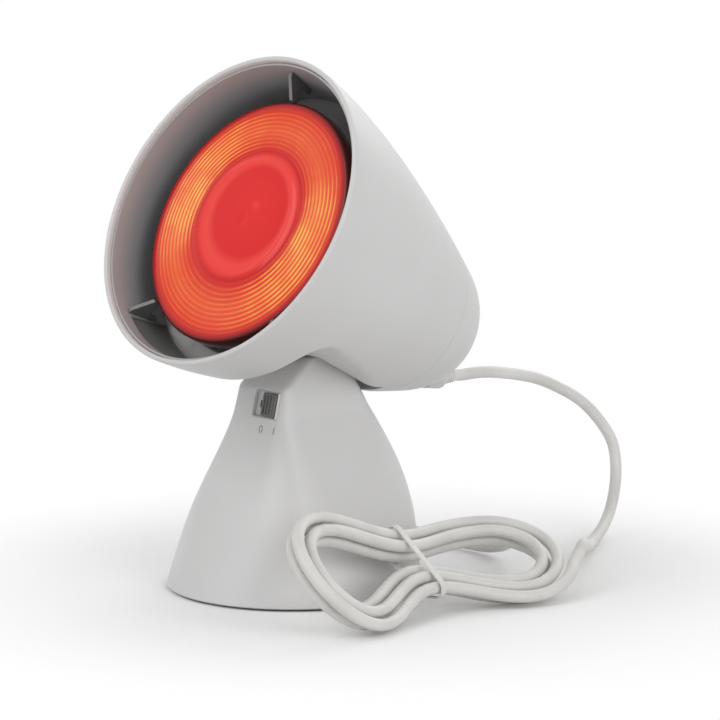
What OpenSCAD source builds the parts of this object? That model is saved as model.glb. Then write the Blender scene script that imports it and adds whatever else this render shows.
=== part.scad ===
// Infrared heat therapy lamp: a bell shaped head that tilts on a hinge in the neck of a
// weighted foot, with a reflector bulb, a slide switch in the neck and a mains lead.
// +Z is up, the bulb looks along -Y, and the origin is the middle of the pad under the foot.

/* [Foot] */
// Diameter of the foot at the table
foot_d = 122; // [114:1:126]
// Thickness of the foot's moulded wall
foot_wall = 2.4; // [2:0.1:3]
// Height where the flared foot passes into the straight neck
neck_base_z = 84; // [80:1:86]
// Width of the neck across the lamp at its round top
neck_w = 30; // [29:0.5:32]
// How much wider the neck is at its foot than at its round top
neck_flare = 10; // [8:0.5:11]
// Depth of the neck, front to back, where it leaves the flared foot
neck_depth = 62; // [60:1:66]
// Radius of the neck's round top about the hinge
neck_r = 21.5; // [20:0.5:22]
// Height of the shoulder where the flat front of the neck ends
shoulder_z = 98; // [97.5:0.5:100]
// Distance of that shoulder before the middle of the foot
shoulder_front = 21.5; // [20.5:0.5:22.5]
// Thickness of the plate that closes the foot
floor_plate_t = 3; // [2.5:0.5:4]
// Radius of the circle of the screws in the floor plate
floor_screw_r = 50; // [48:0.5:51]
// Thickness of the weight in the foot
weight_t = 6; // [4:1:10]
// Radius of the weight in the foot
weight_r = 42; // [34:1:44]
// Radius of the rubber pad under the foot
pad_r = 43; // [36:1:44]
// Thickness of the rubber pad
pad_t = 1.2; // [1:0.1:1.5]

/* [Hinge] */
// Height of the tilt hinge above the table
hinge_z = 91.5; // [90:0.5:95]
// Distance of the tilt hinge behind the middle of the foot
hinge_y = 6; // [4:0.5:8]
// Angle of the head above the horizontal, as stored
tilt = 28; // [20:1:36]
// Diameter of the hinge pin
pin_d = 8; // [6:0.5:9]
// Running clearance of the hinge pin, on the radius
pin_gap = 0.05; // [0.02:0.01:0.1]
// Thickness of the lug between the two sides of the frame
lug_t = 9; // [7:0.2:9.2]
// Radius of the lug's hub about the pin
hub_r = 11; // [9:0.5:12]
// Thickness of one friction washer
washer_t = 0.7; // [0.5:0.1:0.9]
// Thickness of the steel frame in the neck
frame_t = 2; // [1.5:0.25:2]

/* [Head] */
// Outer radius of the head at its rim
rim_r = 78; // [77:0.5:81]
// Outer radius of the head where its round back begins
cone_r = 36; // [35:0.5:38]
// Length of the head from the rim to where its round back begins
cone_l = 142; // [140:1:146]
// Length of the round back
dome_l = 26; // [24:1:28]
// Thickness of the head's moulded wall
head_wall = 2.5; // [2:0.1:2.6]
// Distance of the hinge below the head's axis
hinge_drop = 60; // [59:0.5:62]
// Distance of the hinge behind the rim
hinge_back = 86.5; // [84:0.5:89]
// Distance from the rim to the joint with the rear cap
cap_split = 128; // [126:1:131]
// Depth below the head's axis of the flat that is cut in its underside
flat_h = 45; // [44:0.5:47]
// Distance from the rim to the front wall of that flat
flat_front = 34; // [34:0.5:38]
// Radius of the corner between the flat and its front wall
flat_corner = 17; // [12:1:18]
// Clearance of the neck in its slot in the head
slot_gap = 1.2; // [0.8:0.1:1.6]
// Thickness of the walls round the flat and the slot
pocket_wall = 2; // [1.6:0.1:2]

/* [Bulb] */
// Radius of the bulb's glass face
lens_r = 61; // [59:0.5:61.5]
// Distance of the edge of the bulb's face behind the rim
bulb_recess = 15; // [13:0.5:17]
// Depth of the bulb from its face to its contact
bulb_l = 136; // [134:1:138]
// Thickness of the bulb's glass
glass_t = 2.5; // [2:0.1:3]
// Radius of the bulb's screw cap
cap_r = 13.2; // [13:0.1:13.3]
// Number of raised rings in the glass face
lens_rings = 8; // [4:1:12]

/* [Switch] */
// Height of the switch on the neck
switch_z = 91; // [90.5:0.5:91.5]
// Distance of the switch from the neck's middle, towards +X
switch_x = 6; // [4:0.5:6.5]
// Width of the opening for the switch
switch_w = 17; // [16:0.5:17.5]
// Height of the opening for the switch
switch_h = 13; // [11:0.5:13.5]
// Width of the sliding knob
knob_w = 9; // [7:0.5:9]
// Travel of the sliding knob
knob_travel = 6; // [4:0.5:6]

/* [Mains lead] */
// Diameter of the mains lead
cord_d = 5.8; // [5:0.1:5.8]
// Width of the plug's body
plug_w = 35; // [33:0.5:37]
// Thickness of the plug's body
plug_t = 13.7; // [12:0.1:14]
// Distance between the plug's two pins
pin_pitch = 18.6; // [18:0.1:19]

/* [Hidden] */
$fn = 64;

white = [0.86, 0.85, 0.85];
pale = [0.78, 0.78, 0.78];
sleeve_grey = [0.45, 0.45, 0.46];
dark = [0.13, 0.13, 0.14];
steel = [0.62, 0.63, 0.65];
brass = [0.72, 0.58, 0.28];
ceramic = [0.93, 0.92, 0.88];
red_glass = [0.75, 0.03, 0.02];

// ---------- Foot: round at the table, drawn in to the neck ----------

foot_r = foot_d / 2;
floor_z = pad_t;
plate_top = floor_z + floor_plate_t;
weight_top = plate_top + weight_t;
plate_gap = 0.6;
ring_points = 48;
ring_rows = 12;
neck_foot_half = (neck_w + neck_flare) / 2;
neck_front = neck_depth / 2 - hinge_y;
neck_back = neck_depth / 2 + hinge_y;

// Half sizes of the foot at a height: across, to the front and to the back
function rise(z) = min(1, max(0, (z - floor_z) / (neck_base_z - floor_z)));
function drawn_in(z, power, ease) = (1 + ease) * pow(rise(z), power) - ease * pow(rise(z), 4);
function half_across(z) = foot_r - (foot_r - neck_foot_half) * drawn_in(z, 1.45, 0.25);
function half_front(z) = foot_r - (foot_r - neck_front) * drawn_in(z, 1.05, 0.2);
function half_back(z) = foot_r - (foot_r - neck_back) * drawn_in(z, 2.1, 0);
// Exponent of the section: 2 is round, a high value is nearly square
function squareness(z) = 2 + 4 * pow(rise(z), 2);
function signed_power(v, n) = sign(v) * pow(abs(v), 2 / n);

function foot_ring(z, inset, at_z) = [for (i = [0:ring_points - 1])
    let (a = 360 * (i + 0.5) / ring_points, n = squareness(z),
        depth = (sin(a) < 0 ? half_front(z) : half_back(z)) - inset)
    [(half_across(z) - inset) * signed_power(cos(a), n), depth * signed_power(sin(a), n), at_z]];

// Faces of a closed solid made of rows of points that run round +Z
function loft_faces(rows, count) = concat(
    [[for (i = [0:count - 1]) i]],
    [for (k = [0:rows - 2], i = [0:count - 1]) let (j = (i + 1) % count)
        [k * count + i, (k + 1) * count + i, (k + 1) * count + j]],
    [for (k = [0:rows - 2], i = [0:count - 1]) let (j = (i + 1) % count)
        [k * count + i, (k + 1) * count + j, k * count + j]],
    [[for (i = [count - 1:-1:0]) (rows - 1) * count + i]]);

module flared_foot(inset, low_z) {
    heights = [for (k = [0:ring_rows - 1])
        floor_z + (neck_base_z - floor_z) * pow(k / (ring_rows - 1), 0.8)];
    points = [for (k = [0:ring_rows - 1])
        each foot_ring(heights[k], inset, k == 0 ? low_z : heights[k])];
    polyhedron(points = points, faces = loft_faces(ring_rows, ring_points), convexity = 4);
}

// The neck: the top section of the foot drawn over a shoulder in front to the round top
// about the hinge
module neck_block(inset) {
    hull() {
        at_hinge() cylinder(r = neck_r - inset, h = neck_w - 2 * inset, center = true, $fn = 48);
        translate([0, 0, neck_base_z - 0.5]) linear_extrude(height = 0.5)
            polygon([for (p = foot_ring(neck_base_z, inset, 0)) [p[0], p[1]]]);
        translate([-neck_half(shoulder_z) + inset, -shoulder_front + inset, shoulder_z - inset / 2 - 1])
            cube([2 * (neck_half(shoulder_z) - inset), shoulder_front, 1]);
    }
}

// Half width of the neck at a height: it narrows evenly from its foot to its top
neck_top_z = hinge_z + neck_r;
function neck_half(z) = neck_w / 2 + neck_flare / 2 * (neck_top_z - z) / (neck_top_z - neck_base_z);

// Frame of the hinge: z along its pin, across the lamp
module at_hinge() {
    translate([0, hinge_y, hinge_z]) rotate([90, 0, 90]) children();
}

module foot_outside() {
    flared_foot(0, floor_z);
    neck_block(0);
}

// The gap in the back of the neck through which the lug swings, as angles above +Y
lug_slot_gap = 0.8;
lug_slot_low = -14;
lug_slot_high = 72;
module lug_slot() {
    reach = 2 * neck_r;
    at_hinge() linear_extrude(height = lug_t + 2 * lug_slot_gap, center = true)
        polygon([[0, 0], [reach * cos(lug_slot_low), reach * sin(lug_slot_low)],
            [reach, reach * 0.7], [reach * cos(lug_slot_high), reach * sin(lug_slot_high)]]);
}

// Slope of the neck's flat front, from its foot to the shoulder
front_lean = atan((neck_front - shoulder_front) / (shoulder_z - neck_base_z));

// Frame of the switch: x across, y into the neck, z up along its sloping front
module in_face() {
    face_y = -neck_front + (switch_z - neck_base_z) * tan(front_lean);
    translate([switch_x, face_y, switch_z]) rotate([-front_lean, 0, 0]) children();
}

floor_screw_r1 = 1.5;
floor_head_r = 3.3;
floor_head_t = 1.8;
floor_screw_l = 12;
post_r = 4;
screw_gap = 0.1;
module at_floor_screws() {
    for (a = [45, 135, 225, 315]) rotate([0, 0, a]) translate([floor_screw_r, 0, 0]) children();
}

module foot_shell() {
    color(white) {
        difference() {
            foot_outside();
            flared_foot(foot_wall, floor_z - 1);
            neck_block(foot_wall);
            lug_slot();
            in_face() cube([switch_w, 4 * foot_wall, switch_h], center = true);
        }
        difference() {
            intersection() {
                foot_outside();
                at_floor_screws() translate([0, 0, plate_top])
                    cylinder(r = post_r, h = neck_base_z);
            }
            at_floor_screws() cylinder(r = floor_screw_r1 + screw_gap / 2, h = floor_screw_l + 6);
        }
    }
}

plate_r = min(half_front(plate_top), half_across(plate_top)) - foot_wall - plate_gap;
frame_screw_x = 15;
frame_screw_r = 2;
frame_head_r = 3.6;
frame_head_t = 2;
module at_frame_screws() {
    for (side = [-1, 1]) translate([side * frame_screw_x, hinge_y, floor_z]) children();
}

module floor_plate() {
    color(pale) difference() {
        translate([0, 0, floor_z])
            cylinder(r = plate_r, h = floor_plate_t, $fn = 96);
        at_floor_screws() {
            cylinder(r = floor_screw_r1 + screw_gap, h = plate_top + 1);
            translate([0, 0, floor_z - 1]) cylinder(r = floor_head_r + screw_gap, h = floor_head_t + 1.2);
        }
        at_frame_screws() translate([0, 0, -1]) {
            cylinder(r = frame_screw_r + screw_gap, h = floor_plate_t + 2);
            cylinder(r = frame_head_r + screw_gap, h = frame_head_t + 1.2);
        }
    }
}

module rubber_pad() {
    color(dark) cylinder(r = pad_r, h = pad_t);
}

module foot_weight() {
    color(steel) difference() {
        translate([0, 0, plate_top]) cylinder(r = weight_r, h = weight_t);
        at_frame_screws() cylinder(r = frame_screw_r + screw_gap, h = weight_top + 1);
    }
}

module floor_screws() {
    color(steel) at_floor_screws() translate([0, 0, floor_z + 0.2]) {
        cylinder(r = floor_head_r, h = floor_head_t);
        cylinder(r = floor_screw_r1, h = floor_screw_l);
    }
}

// ---------- Hinge in the neck ----------

cheek_in = lug_t / 2 + washer_t;
cheek_out = cheek_in + frame_t;
cheek_w = 18;
frame_flange = 12;
pin_r = pin_d / 2;
module hinge_frame() {
    color(steel) difference() {
        union() {
            for (side = [-1, 1]) {
                at_hinge() translate([0, 0, side * (cheek_in + cheek_out) / 2])
                    cylinder(r = hub_r, h = frame_t, center = true);
                translate([side * (cheek_in + cheek_out) / 2, hinge_y, (weight_top + hinge_z) / 2])
                    cube([frame_t, cheek_w, hinge_z - weight_top], center = true);
            }
            translate([-cheek_out - frame_flange, hinge_y - cheek_w / 2, weight_top])
                cube([2 * (cheek_out + frame_flange), cheek_w, frame_t]);
        }
        at_hinge() cylinder(r = pin_r + pin_gap, h = neck_w, center = true);
        at_frame_screws() cylinder(r = frame_screw_r + screw_gap / 2, h = weight_top + 4);
    }
}

module frame_screws() {
    color(steel) at_frame_screws() translate([0, 0, 0.1]) {
        cylinder(r = frame_head_r, h = frame_head_t);
        cylinder(r = frame_screw_r, h = weight_top + frame_t + 1 - floor_z);
    }
}

pin_end_gap = 0.2;
module hinge_pin() {
    pin_l = neck_w - 2 * foot_wall - 2 * pin_end_gap;
    color(steel) at_hinge() cylinder(r = pin_r, h = pin_l, center = true);
}

washer_play = 0.05;
module friction_washers() {
    color(brass) for (side = [-1, 1]) at_hinge()
        translate([0, 0, side * (lug_t / 2 + washer_t / 2)]) difference() {
            cylinder(r = hub_r - 1, h = washer_t - 2 * washer_play, center = true);
            cylinder(r = pin_r + pin_gap, h = 2 * washer_t, center = true);
        }
}

// ---------- Switch in the front of the neck ----------

bezel_gap = 0.15;
bezel_proud = 0.5;
knob_gap = 0.3;
knob_h = switch_h - 1.8;
knob_x = knob_travel / 2;
window_w = knob_w + knob_travel + 2 * knob_gap;
window_h = knob_h + 2 * knob_gap;
stem_w = 4;
stem_h = 3;
stem_l = 3.5;
body_front = foot_wall + 0.2;
body_depth = 6.6;
body_w = switch_w - 1.4;
body_h = 12.4;

module switch_bezel() {
    color(pale) in_face() difference() {
        translate([-(switch_w / 2 - bezel_gap), -bezel_proud, -(switch_h / 2 - bezel_gap)])
            cube([switch_w - 2 * bezel_gap, bezel_proud + foot_wall, switch_h - 2 * bezel_gap]);
        cube([window_w, 4 * foot_wall, window_h], center = true);
    }
}

module switch_body() {
    color(dark) in_face() difference() {
        translate([-body_w / 2, body_front, -body_h / 2]) cube([body_w, body_depth, body_h]);
        translate([0, body_front, 0]) cube([stem_w + knob_travel + 2 * knob_gap,
            2 * (stem_l - 0.6), stem_h + 2 * knob_gap], center = true);
    }
}

terminal_pitch = 4.6;
module switch_terminals() {
    color(brass) in_face() for (i = [-1:1])
        translate([i * terminal_pitch - 1, body_front + body_depth, -body_h / 2 + 2])
        cube([2, 4.5, 0.6]);
}

knob_ribs = 4;
module switch_knob() {
    color(dark) in_face() translate([knob_x, 0, 0]) {
        translate([-knob_w / 2, -1.4, -knob_h / 2]) cube([knob_w, 2.6, knob_h]);
        for (i = [0:knob_ribs - 1])
            translate([(i - (knob_ribs - 1) / 2) * 2 - 0.4, -2, -knob_h / 2 + 1])
            cube([0.8, 1, knob_h - 2]);
        translate([-stem_w / 2, 0, -stem_h / 2]) cube([stem_w, stem_l + body_front - 1.4, stem_h]);
    }
}

// ---------- Head: x across, y down from its axis, z back from its rim ----------

module in_head() {
    translate([0, hinge_y, hinge_z]) rotate([-90 - tilt, 0, 0])
        translate([0, -hinge_drop, -hinge_back]) children();
}

// Place in the room of a point in the head's middle plane
function head_point(down, back) = [0,
    hinge_y - (down - hinge_drop) * sin(tilt) + (back - hinge_back) * cos(tilt),
    hinge_z - (down - hinge_drop) * cos(tilt) - (back - hinge_back) * sin(tilt)];

// Draws a plane of (down, back) points and carries it across the head
module across(width) {
    rotate([90, 0, 90]) linear_extrude(height = width, center = true) children();
}

// The bell narrows along a power curve, and an ellipse that takes up its slope closes it
bell_power = 1.4;
bell_steps = 12;
dome_steps = 7;
bell_slope = bell_power * (rim_r - cone_r) / cone_l;
dome_share = dome_l * bell_slope / cone_r;
dome_turn = asin(dome_share / (1 - dome_share));
dome_a = cone_r / cos(dome_turn);
dome_b = dome_l / (1 - sin(dome_turn));
dome_mid = cone_l + dome_l - dome_b;
function bell_radius(s) = s < cone_l
    ? rim_r - (rim_r - cone_r) * pow(max(0, s) / cone_l, bell_power)
    : dome_a * sqrt(max(0, 1 - pow((s - dome_mid) / dome_b, 2)));
function bell_outline(inset, front) = concat([[0, front], [rim_r - inset, front]],
    [for (i = [(front < 0 ? 0 : 1):bell_steps]) let (s = cone_l * i / bell_steps)
        [bell_radius(s) - inset, s]],
    [for (i = [1:dome_steps - 1]) let (a = dome_turn + (90 - dome_turn) * i / dome_steps)
        [(dome_a - inset) * cos(a), dome_mid + (dome_b - inset) * sin(a)]],
    [[0, dome_mid + dome_b - inset]]);
module bell(inset, front = 0) {
    rotate_extrude($fn = 96) polygon(bell_outline(inset, front));
}
module slab(from_s, to_s) {
    translate([-2 * rim_r, -2 * rim_r, from_s]) cube([4 * rim_r, 4 * rim_r, to_s - from_s]);
}

// The bulb's bowl is a paraboloid of this focal length, whose tip lies on the axis here
bowl_focus = 12;
bowl_l = 88;
bowl_tip = bulb_recess + bowl_l;
bulb_neck_r = 20;
function bowl_radius(s) = min(lens_r - 0.5, sqrt(4 * bowl_focus * max(0, bowl_tip - s)));

// The flat in the underside, as the space below it grown by a margin
module flat_space(grow) {
    corner = flat_corner + grow;
    deep = 2 * rim_r;
    across(4 * rim_r) translate([flat_h - grow, flat_front - grow]) {
        translate([corner, 0]) square([deep, deep]);
        translate([0, corner]) square([deep, deep]);
        translate([corner, corner]) circle(r = corner);
    }
}

// The slot over the neck's round top, open behind the hinge for the lug's arm. It clears
// the neck's width at the lowest level that the edge of the flat comes down to beside it.
slot_level = 3;
slot_half = neck_half(hinge_z + slot_level) + slot_gap;
slot_lead = 12;
slot_end = cap_split - slot_lead;
module neck_slot(grow) {
    slot_r = neck_r + slot_gap + grow;
    across(2 * (slot_half + grow)) {
        translate([hinge_drop, hinge_back]) circle(r = slot_r);
        translate([hinge_drop - slot_r, hinge_back])
            square([2 * rim_r, slot_end + grow - hinge_back]);
        translate([hinge_drop, hinge_back - slot_r]) square([2 * rim_r, slot_r + 1]);
    }
}

// The wall that keeps the flat clear of the bulb's bowl
bowl_gap = 3;
guard_from = bulb_recess + 8;
guard_to = hinge_back - 10;
guard_steps = 5;
module bowl_guard(inset) {
    grow = bowl_gap + pocket_wall - inset;
    places = [for (i = [0:guard_steps]) guard_from + (guard_to - guard_from) * i / guard_steps];
    rotate_extrude($fn = 96) polygon(concat([[0, guard_from]],
        [for (s = places) [bowl_radius(s) + grow, s]], [[0, guard_to]]));
}

module underside_space() {
    difference() {
        flat_space(0);
        bowl_guard(0);
    }
    neck_slot(0);
}
module underside_walls() {
    difference() {
        flat_space(pocket_wall);
        bowl_guard(pocket_wall);
    }
    neck_slot(pocket_wall);
}

// The lug's arm from the hub into the head, and its bar along the head
arm_half = 6;
bar_top = 30;
bar_t = 4;
bar_l = 30;
bar_past = 6;
bar_to = cap_split + bar_past;
bar_from = bar_to - bar_l;
arm_end = [bar_top + bar_t / 2, bar_to - 22];
arm_along = atan2(arm_end[1] - hinge_back, arm_end[0] - hinge_drop);
module lug_arm(grow) {
    arm_l = norm([arm_end[0] - hinge_drop, arm_end[1] - hinge_back]);
    across(lug_t + 2 * grow) translate([hinge_drop, hinge_back]) rotate(arm_along)
        translate([0, -arm_half - grow]) square([arm_l, 2 * (arm_half + grow)]);
}

lug_screw_s = cap_split - 9.2;
lug_screw_x = 8;
lug_screw_r = 1.5;
boss_r = 3.6;
module at_lug_screws() {
    for (side = [-1, 1]) translate([side * lug_screw_x, bar_top, lug_screw_s])
        rotate([-90, 0, 0]) children();
}

arm_gap = 0.3;
module head_shell() {
    color(white) in_head() {
        difference() {
            bell(0);
            difference() {
                bell(head_wall, -1);
                underside_walls();
            }
            underside_space();
            slab(cap_split, cone_l + dome_l + 1);
            lug_arm(arm_gap);
            at_lug_screws() cylinder(r = lug_screw_r + screw_gap / 2, h = bar_t + 7);
        }
        difference() {
            intersection() {
                bell(head_wall / 2);
                at_lug_screws() translate([0, 0, bar_t]) cylinder(r = boss_r, h = rim_r);
            }
            at_lug_screws() cylinder(r = lug_screw_r + screw_gap / 2, h = bar_t + 7);
            neck_slot(0);
        }
    }
}

// ---------- Rear cap with its lip, cord outlet and air slots ----------

seam = 0.3;
lip_l = 5;
lip_t = 1.6;
lip_gap = 0.2;
gland_h = 20;
gland_lead = 19;
gland_s = cone_l + gland_lead;
gland_turn = 20;
gland_neck_r = 4.6;
gland_collar_r = 7;
gland_collar_l = 7;
slot_count = 5;
slot_pitch = 7;
slot_w = 2.6;
module at_gland() {
    translate([0, gland_h, gland_s]) rotate([gland_turn, 0, 0]) children();
}

cap_screw_x = 17;
cap_screw_h = -17;
cap_screw_r = 1.5;
cap_head_r = 3;
bracket_t = 2;
bracket_s = bar_to;
cap_post_s = bracket_s + bracket_t + 0.2;
cap_head_s = cone_l + 10;
module at_cap_screws() {
    for (side = [-1, 1]) translate([side * cap_screw_x, cap_screw_h, 0]) children();
}

module rear_cap() {
    color(white) in_head() difference() {
        union() {
            difference() {
                intersection() {
                    bell(0);
                    slab(cap_split + seam, cone_l + dome_l + 1);
                }
                bell(head_wall);
            }
            difference() {
                intersection() {
                    bell(head_wall + lip_gap);
                    slab(cap_split - lip_l, cap_split + 2 * head_wall);
                }
                bell(head_wall + lip_gap + lip_t);
            }
            intersection() {
                bell(head_wall / 2);
                slab(cap_split + seam, cap_split + 2 * head_wall);
                difference() {
                    bell(head_wall / 2);
                    bell(head_wall + lip_gap + lip_t);
                }
            }
            intersection() {
                bell(head_wall / 2);
                at_cap_screws() translate([0, 0, cap_post_s]) cylinder(r = post_r, h = cone_l);
            }
            at_gland() translate([0, 0, -3]) cylinder(r = gland_collar_r, h = 3 + gland_collar_l);
        }
        at_gland() translate([0, 0, -20]) cylinder(r = gland_neck_r + screw_gap, h = 40);
        at_cap_screws() {
            cylinder(r = cap_screw_r + screw_gap, h = 2 * cone_l);
            translate([0, 0, cap_head_s]) cylinder(r = cap_head_r + 0.3, h = cone_l);
        }
        for (i = [0:slot_count - 1])
            translate([(i - (slot_count - 1) / 2) * slot_pitch - slot_w / 2, -14, cone_l + 8])
            cube([slot_w, 20, dome_l]);
    }
}

module cap_screws() {
    color(steel) in_head() at_cap_screws() {
        translate([0, 0, cap_head_s - 20]) cylinder(r = cap_screw_r, h = 20.5);
        translate([0, 0, cap_head_s + 0.05]) cylinder(r = cap_head_r, h = 2);
    }
}

// ---------- Grey sleeve and clips round the bulb ----------

sleeve_gap = 0.3;
sleeve_t = 1;
sleeve_from = 2.5;
sleeve_to = flat_front - pocket_wall - 1.5;
sleeve_open = 41;
sleeve_open_from = 9;
module inner_sleeve() {
    color(sleeve_grey) in_head() difference() {
        intersection() {
            difference() {
                bell(head_wall + sleeve_gap, -1);
                bell(head_wall + sleeve_gap + sleeve_t, -1);
            }
            slab(sleeve_from, sleeve_to);
        }
        translate([0, 0, sleeve_open_from]) linear_extrude(height = sleeve_to)
            polygon([[0, 0], [2 * rim_r * tan(-sleeve_open), 2 * rim_r],
                [2 * rim_r * tan(sleeve_open), 2 * rim_r]]);
    }
}

seat_gap = 0.3;
clip_w = 2;
clip_angles = [0, 138, 222];
module bulb_clips() {
    front_s = bulb_recess - 7;
    back_s = bulb_recess + 8;
    front_r = bell_radius(front_s) - head_wall - sleeve_gap - sleeve_t - seat_gap;
    back_r = bell_radius(back_s) - head_wall - sleeve_gap - sleeve_t - seat_gap;
    glass_r = lens_r + seat_gap;
    color(pale) in_head() for (a = clip_angles) rotate([0, 0, a])
        across(clip_w) polygon([[-front_r, front_s], [-back_r, back_s],
            [-back_r + 2, back_s], [-back_r + 2, bulb_recess + 3],
            [-glass_r, bulb_recess + 3], [-glass_r, bulb_recess - 1],
            [-front_r + 2, front_s]]);
}

// ---------- Bulb ----------

face_edge_t = 7;
face_crown = 3;
ring_from = 0.46;
ring_depth = 0.6;
module bulb_face() {
    step = lens_r * (0.93 - ring_from) / lens_rings;
    color(red_glass) in_head() translate([0, 0, bulb_recess]) rotate_extrude($fn = 96)
        polygon(concat([[0, -face_crown]], [[lens_r * ring_from, -face_crown + 0.8]],
            [for (i = [0:lens_rings - 1]) each let (r = lens_r * ring_from + i * step,
                s = -face_crown + 0.8 + (face_crown - 0.8) * (i + 1) / lens_rings)
                [[r + step * 0.3, s - ring_depth], [r + step, s]]],
            [[lens_r - 1.5, 0], [lens_r, 1.5], [lens_r, face_edge_t], [lens_r - glass_t, face_edge_t],
            [lens_r - 2 * glass_t, glass_t], [0, -face_crown + glass_t]]));
}

bowl_steps = 8;
bulb_neck_l = 109;
bulb_neck_s = bulb_recess + bulb_neck_l;
module bulb_bowl() {
    from_s = bulb_recess + face_edge_t;
    neck_from = bowl_tip - pow(bulb_neck_r, 2) / (4 * bowl_focus);
    places = [for (i = [0:bowl_steps]) from_s + (neck_from - from_s) * i / bowl_steps];
    outer = concat([for (s = places) [bowl_radius(s), s]],
        [[bulb_neck_r, bulb_neck_s - 7], [cap_r - 0.1, bulb_neck_s]]);
    count = len(outer);
    inner = [for (i = [count - 1:-1:0]) [outer[i][0] - glass_t, outer[i][1]]];
    color([0.8, 0.8, 0.8]) in_head() rotate_extrude($fn = 96) polygon(concat(outer, inner));
}

thread_rings = 4;
thread_pitch = 3.6;
cap_t = 0.5;
cap_from = bulb_neck_s + 0.1;
cap_to = bulb_recess + bulb_l - 8;
module bulb_cap() {
    color(brass) in_head() rotate_extrude() {
        translate([cap_r - 1 - cap_t, cap_from]) square([cap_t, cap_to - cap_from]);
        for (i = [0:thread_rings - 1])
            translate([cap_r - 1, cap_from + 4 + i * thread_pitch]) circle(r = 0.9, $fn = 16);
    }
}

contact_s = bulb_recess + bulb_l;
module bulb_insulator() {
    color(dark) in_head() rotate_extrude() polygon([[0, cap_to + 0.05], [cap_r - 1, cap_to + 0.05],
        [cap_r - 3, cap_to + 3], [6, contact_s - 2], [0, contact_s - 2]]);
}
module bulb_contact() {
    color(steel) in_head() translate([0, 0, contact_s - 1.95]) cylinder(r = 5, h = 1.95);
}

wire_r = 0.5;
filament_l = 76;
filament_s = bulb_recess + filament_l;
filament_half = 9;
stem_s = bulb_neck_s + seat_gap;
module bulb_filament() {
    color(steel) in_head() {
        for (side = [-1, 1]) translate([side * filament_half, 0, filament_s])
            cylinder(r = wire_r, h = stem_s + 1 - filament_s, $fn = 16);
        translate([-filament_half, 0, filament_s]) rotate([0, 90, 0])
            cylinder(r = 1.2, h = 2 * filament_half, $fn = 24);
        translate([0, 0, stem_s]) cylinder(r = cap_r - 1 - cap_t - seat_gap, h = 2);
    }
}

// ---------- Lamp holder on its bracket ----------

holder_r = 18.5;
holder_from = bulb_neck_s + 3;
holder_step = contact_s - 3;
holder_to = contact_s + 4;
holder_bore = cap_r + 1.4;
holder_back_r = cap_r + 1.5;
ear_half = 26;
ear_w = 10;
ear_t = 4;
holder_screw_x = 22;
bracket_r = 27;
holder_gap = 0.3;
ear_s = bracket_s + bracket_t;
module lamp_holder() {
    color(ceramic) in_head() difference() {
        union() {
            translate([0, 0, holder_from])
                cylinder(r = holder_r, h = holder_step - holder_from);
            translate([0, 0, holder_step - 1])
                cylinder(r = holder_back_r, h = holder_to - holder_step + 1);
            translate([-ear_half, -ear_w / 2, ear_s]) cube([2 * ear_half, ear_w, ear_t]);
        }
        translate([0, 0, holder_from - 1])
            cylinder(r = holder_bore, h = cap_to + 2 - holder_from);
        translate([0, 0, cap_to])
            cylinder(r = holder_back_r - 2, h = contact_s + 2.5 - cap_to);
        for (side = [-1, 1]) translate([side * holder_screw_x, 0, ear_s - 1])
            cylinder(r = lug_screw_r + screw_gap, h = ear_t + 2);
    }
}

module holder_sleeve() {
    color(brass) in_head() translate([0, 0, holder_from + 1]) difference() {
        cylinder(r = holder_bore - 0.1, h = cap_to - holder_from - 2);
        translate([0, 0, -1]) cylinder(r = holder_bore - 0.6, h = cap_to - holder_from);
    }
}

module holder_contact() {
    color(brass) in_head() translate([-3, -8, contact_s + 0.2]) cube([6, 16, 0.8]);
}

flange_top = 20;
flange_half = 8;
flange_screw_h = 26;
flange_screw_x = 5;
module at_flange_screws() {
    for (side = [-1, 1]) translate([side * flange_screw_x, flange_screw_h, bar_to - bar_t])
        children();
}

module holder_bracket() {
    color(steel) in_head() difference() {
        union() {
            translate([0, 0, bracket_s]) cylinder(r = bracket_r, h = bracket_t);
            translate([-flange_half, flange_top, bracket_s])
                cube([2 * flange_half, bar_top + bar_t - flange_top - 2, bracket_t]);
        }
        translate([0, 0, bracket_s - 1]) cylinder(r = holder_r + holder_gap, h = 2 * bracket_t);
        at_flange_screws() cylinder(r = lug_screw_r + screw_gap, h = 2 * bar_t);
        for (side = [-1, 1]) translate([side * holder_screw_x, 0, bracket_s - 1])
            cylinder(r = lug_screw_r + screw_gap / 2, h = 2 * bracket_t);
        at_cap_screws() translate([0, 0, bracket_s - 1])
            cylinder(r = cap_screw_r + screw_gap / 2, h = 2 * bracket_t);
    }
}

screw_head_r = 2.8;
screw_head_t = 1.8;
module holder_screws() {
    color(steel) in_head() {
        for (side = [-1, 1]) translate([side * holder_screw_x, 0, 0]) {
            translate([0, 0, bracket_s - 1]) cylinder(r = lug_screw_r, h = ear_t + bracket_t + 1.05);
            translate([0, 0, ear_s + ear_t + 0.05]) cylinder(r = screw_head_r, h = screw_head_t);
        }
        at_flange_screws() {
            cylinder(r = lug_screw_r, h = bar_t + bracket_t + 0.1);
            translate([0, 0, bar_t + bracket_t + 0.05]) cylinder(r = screw_head_r, h = screw_head_t);
        }
    }
}

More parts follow.
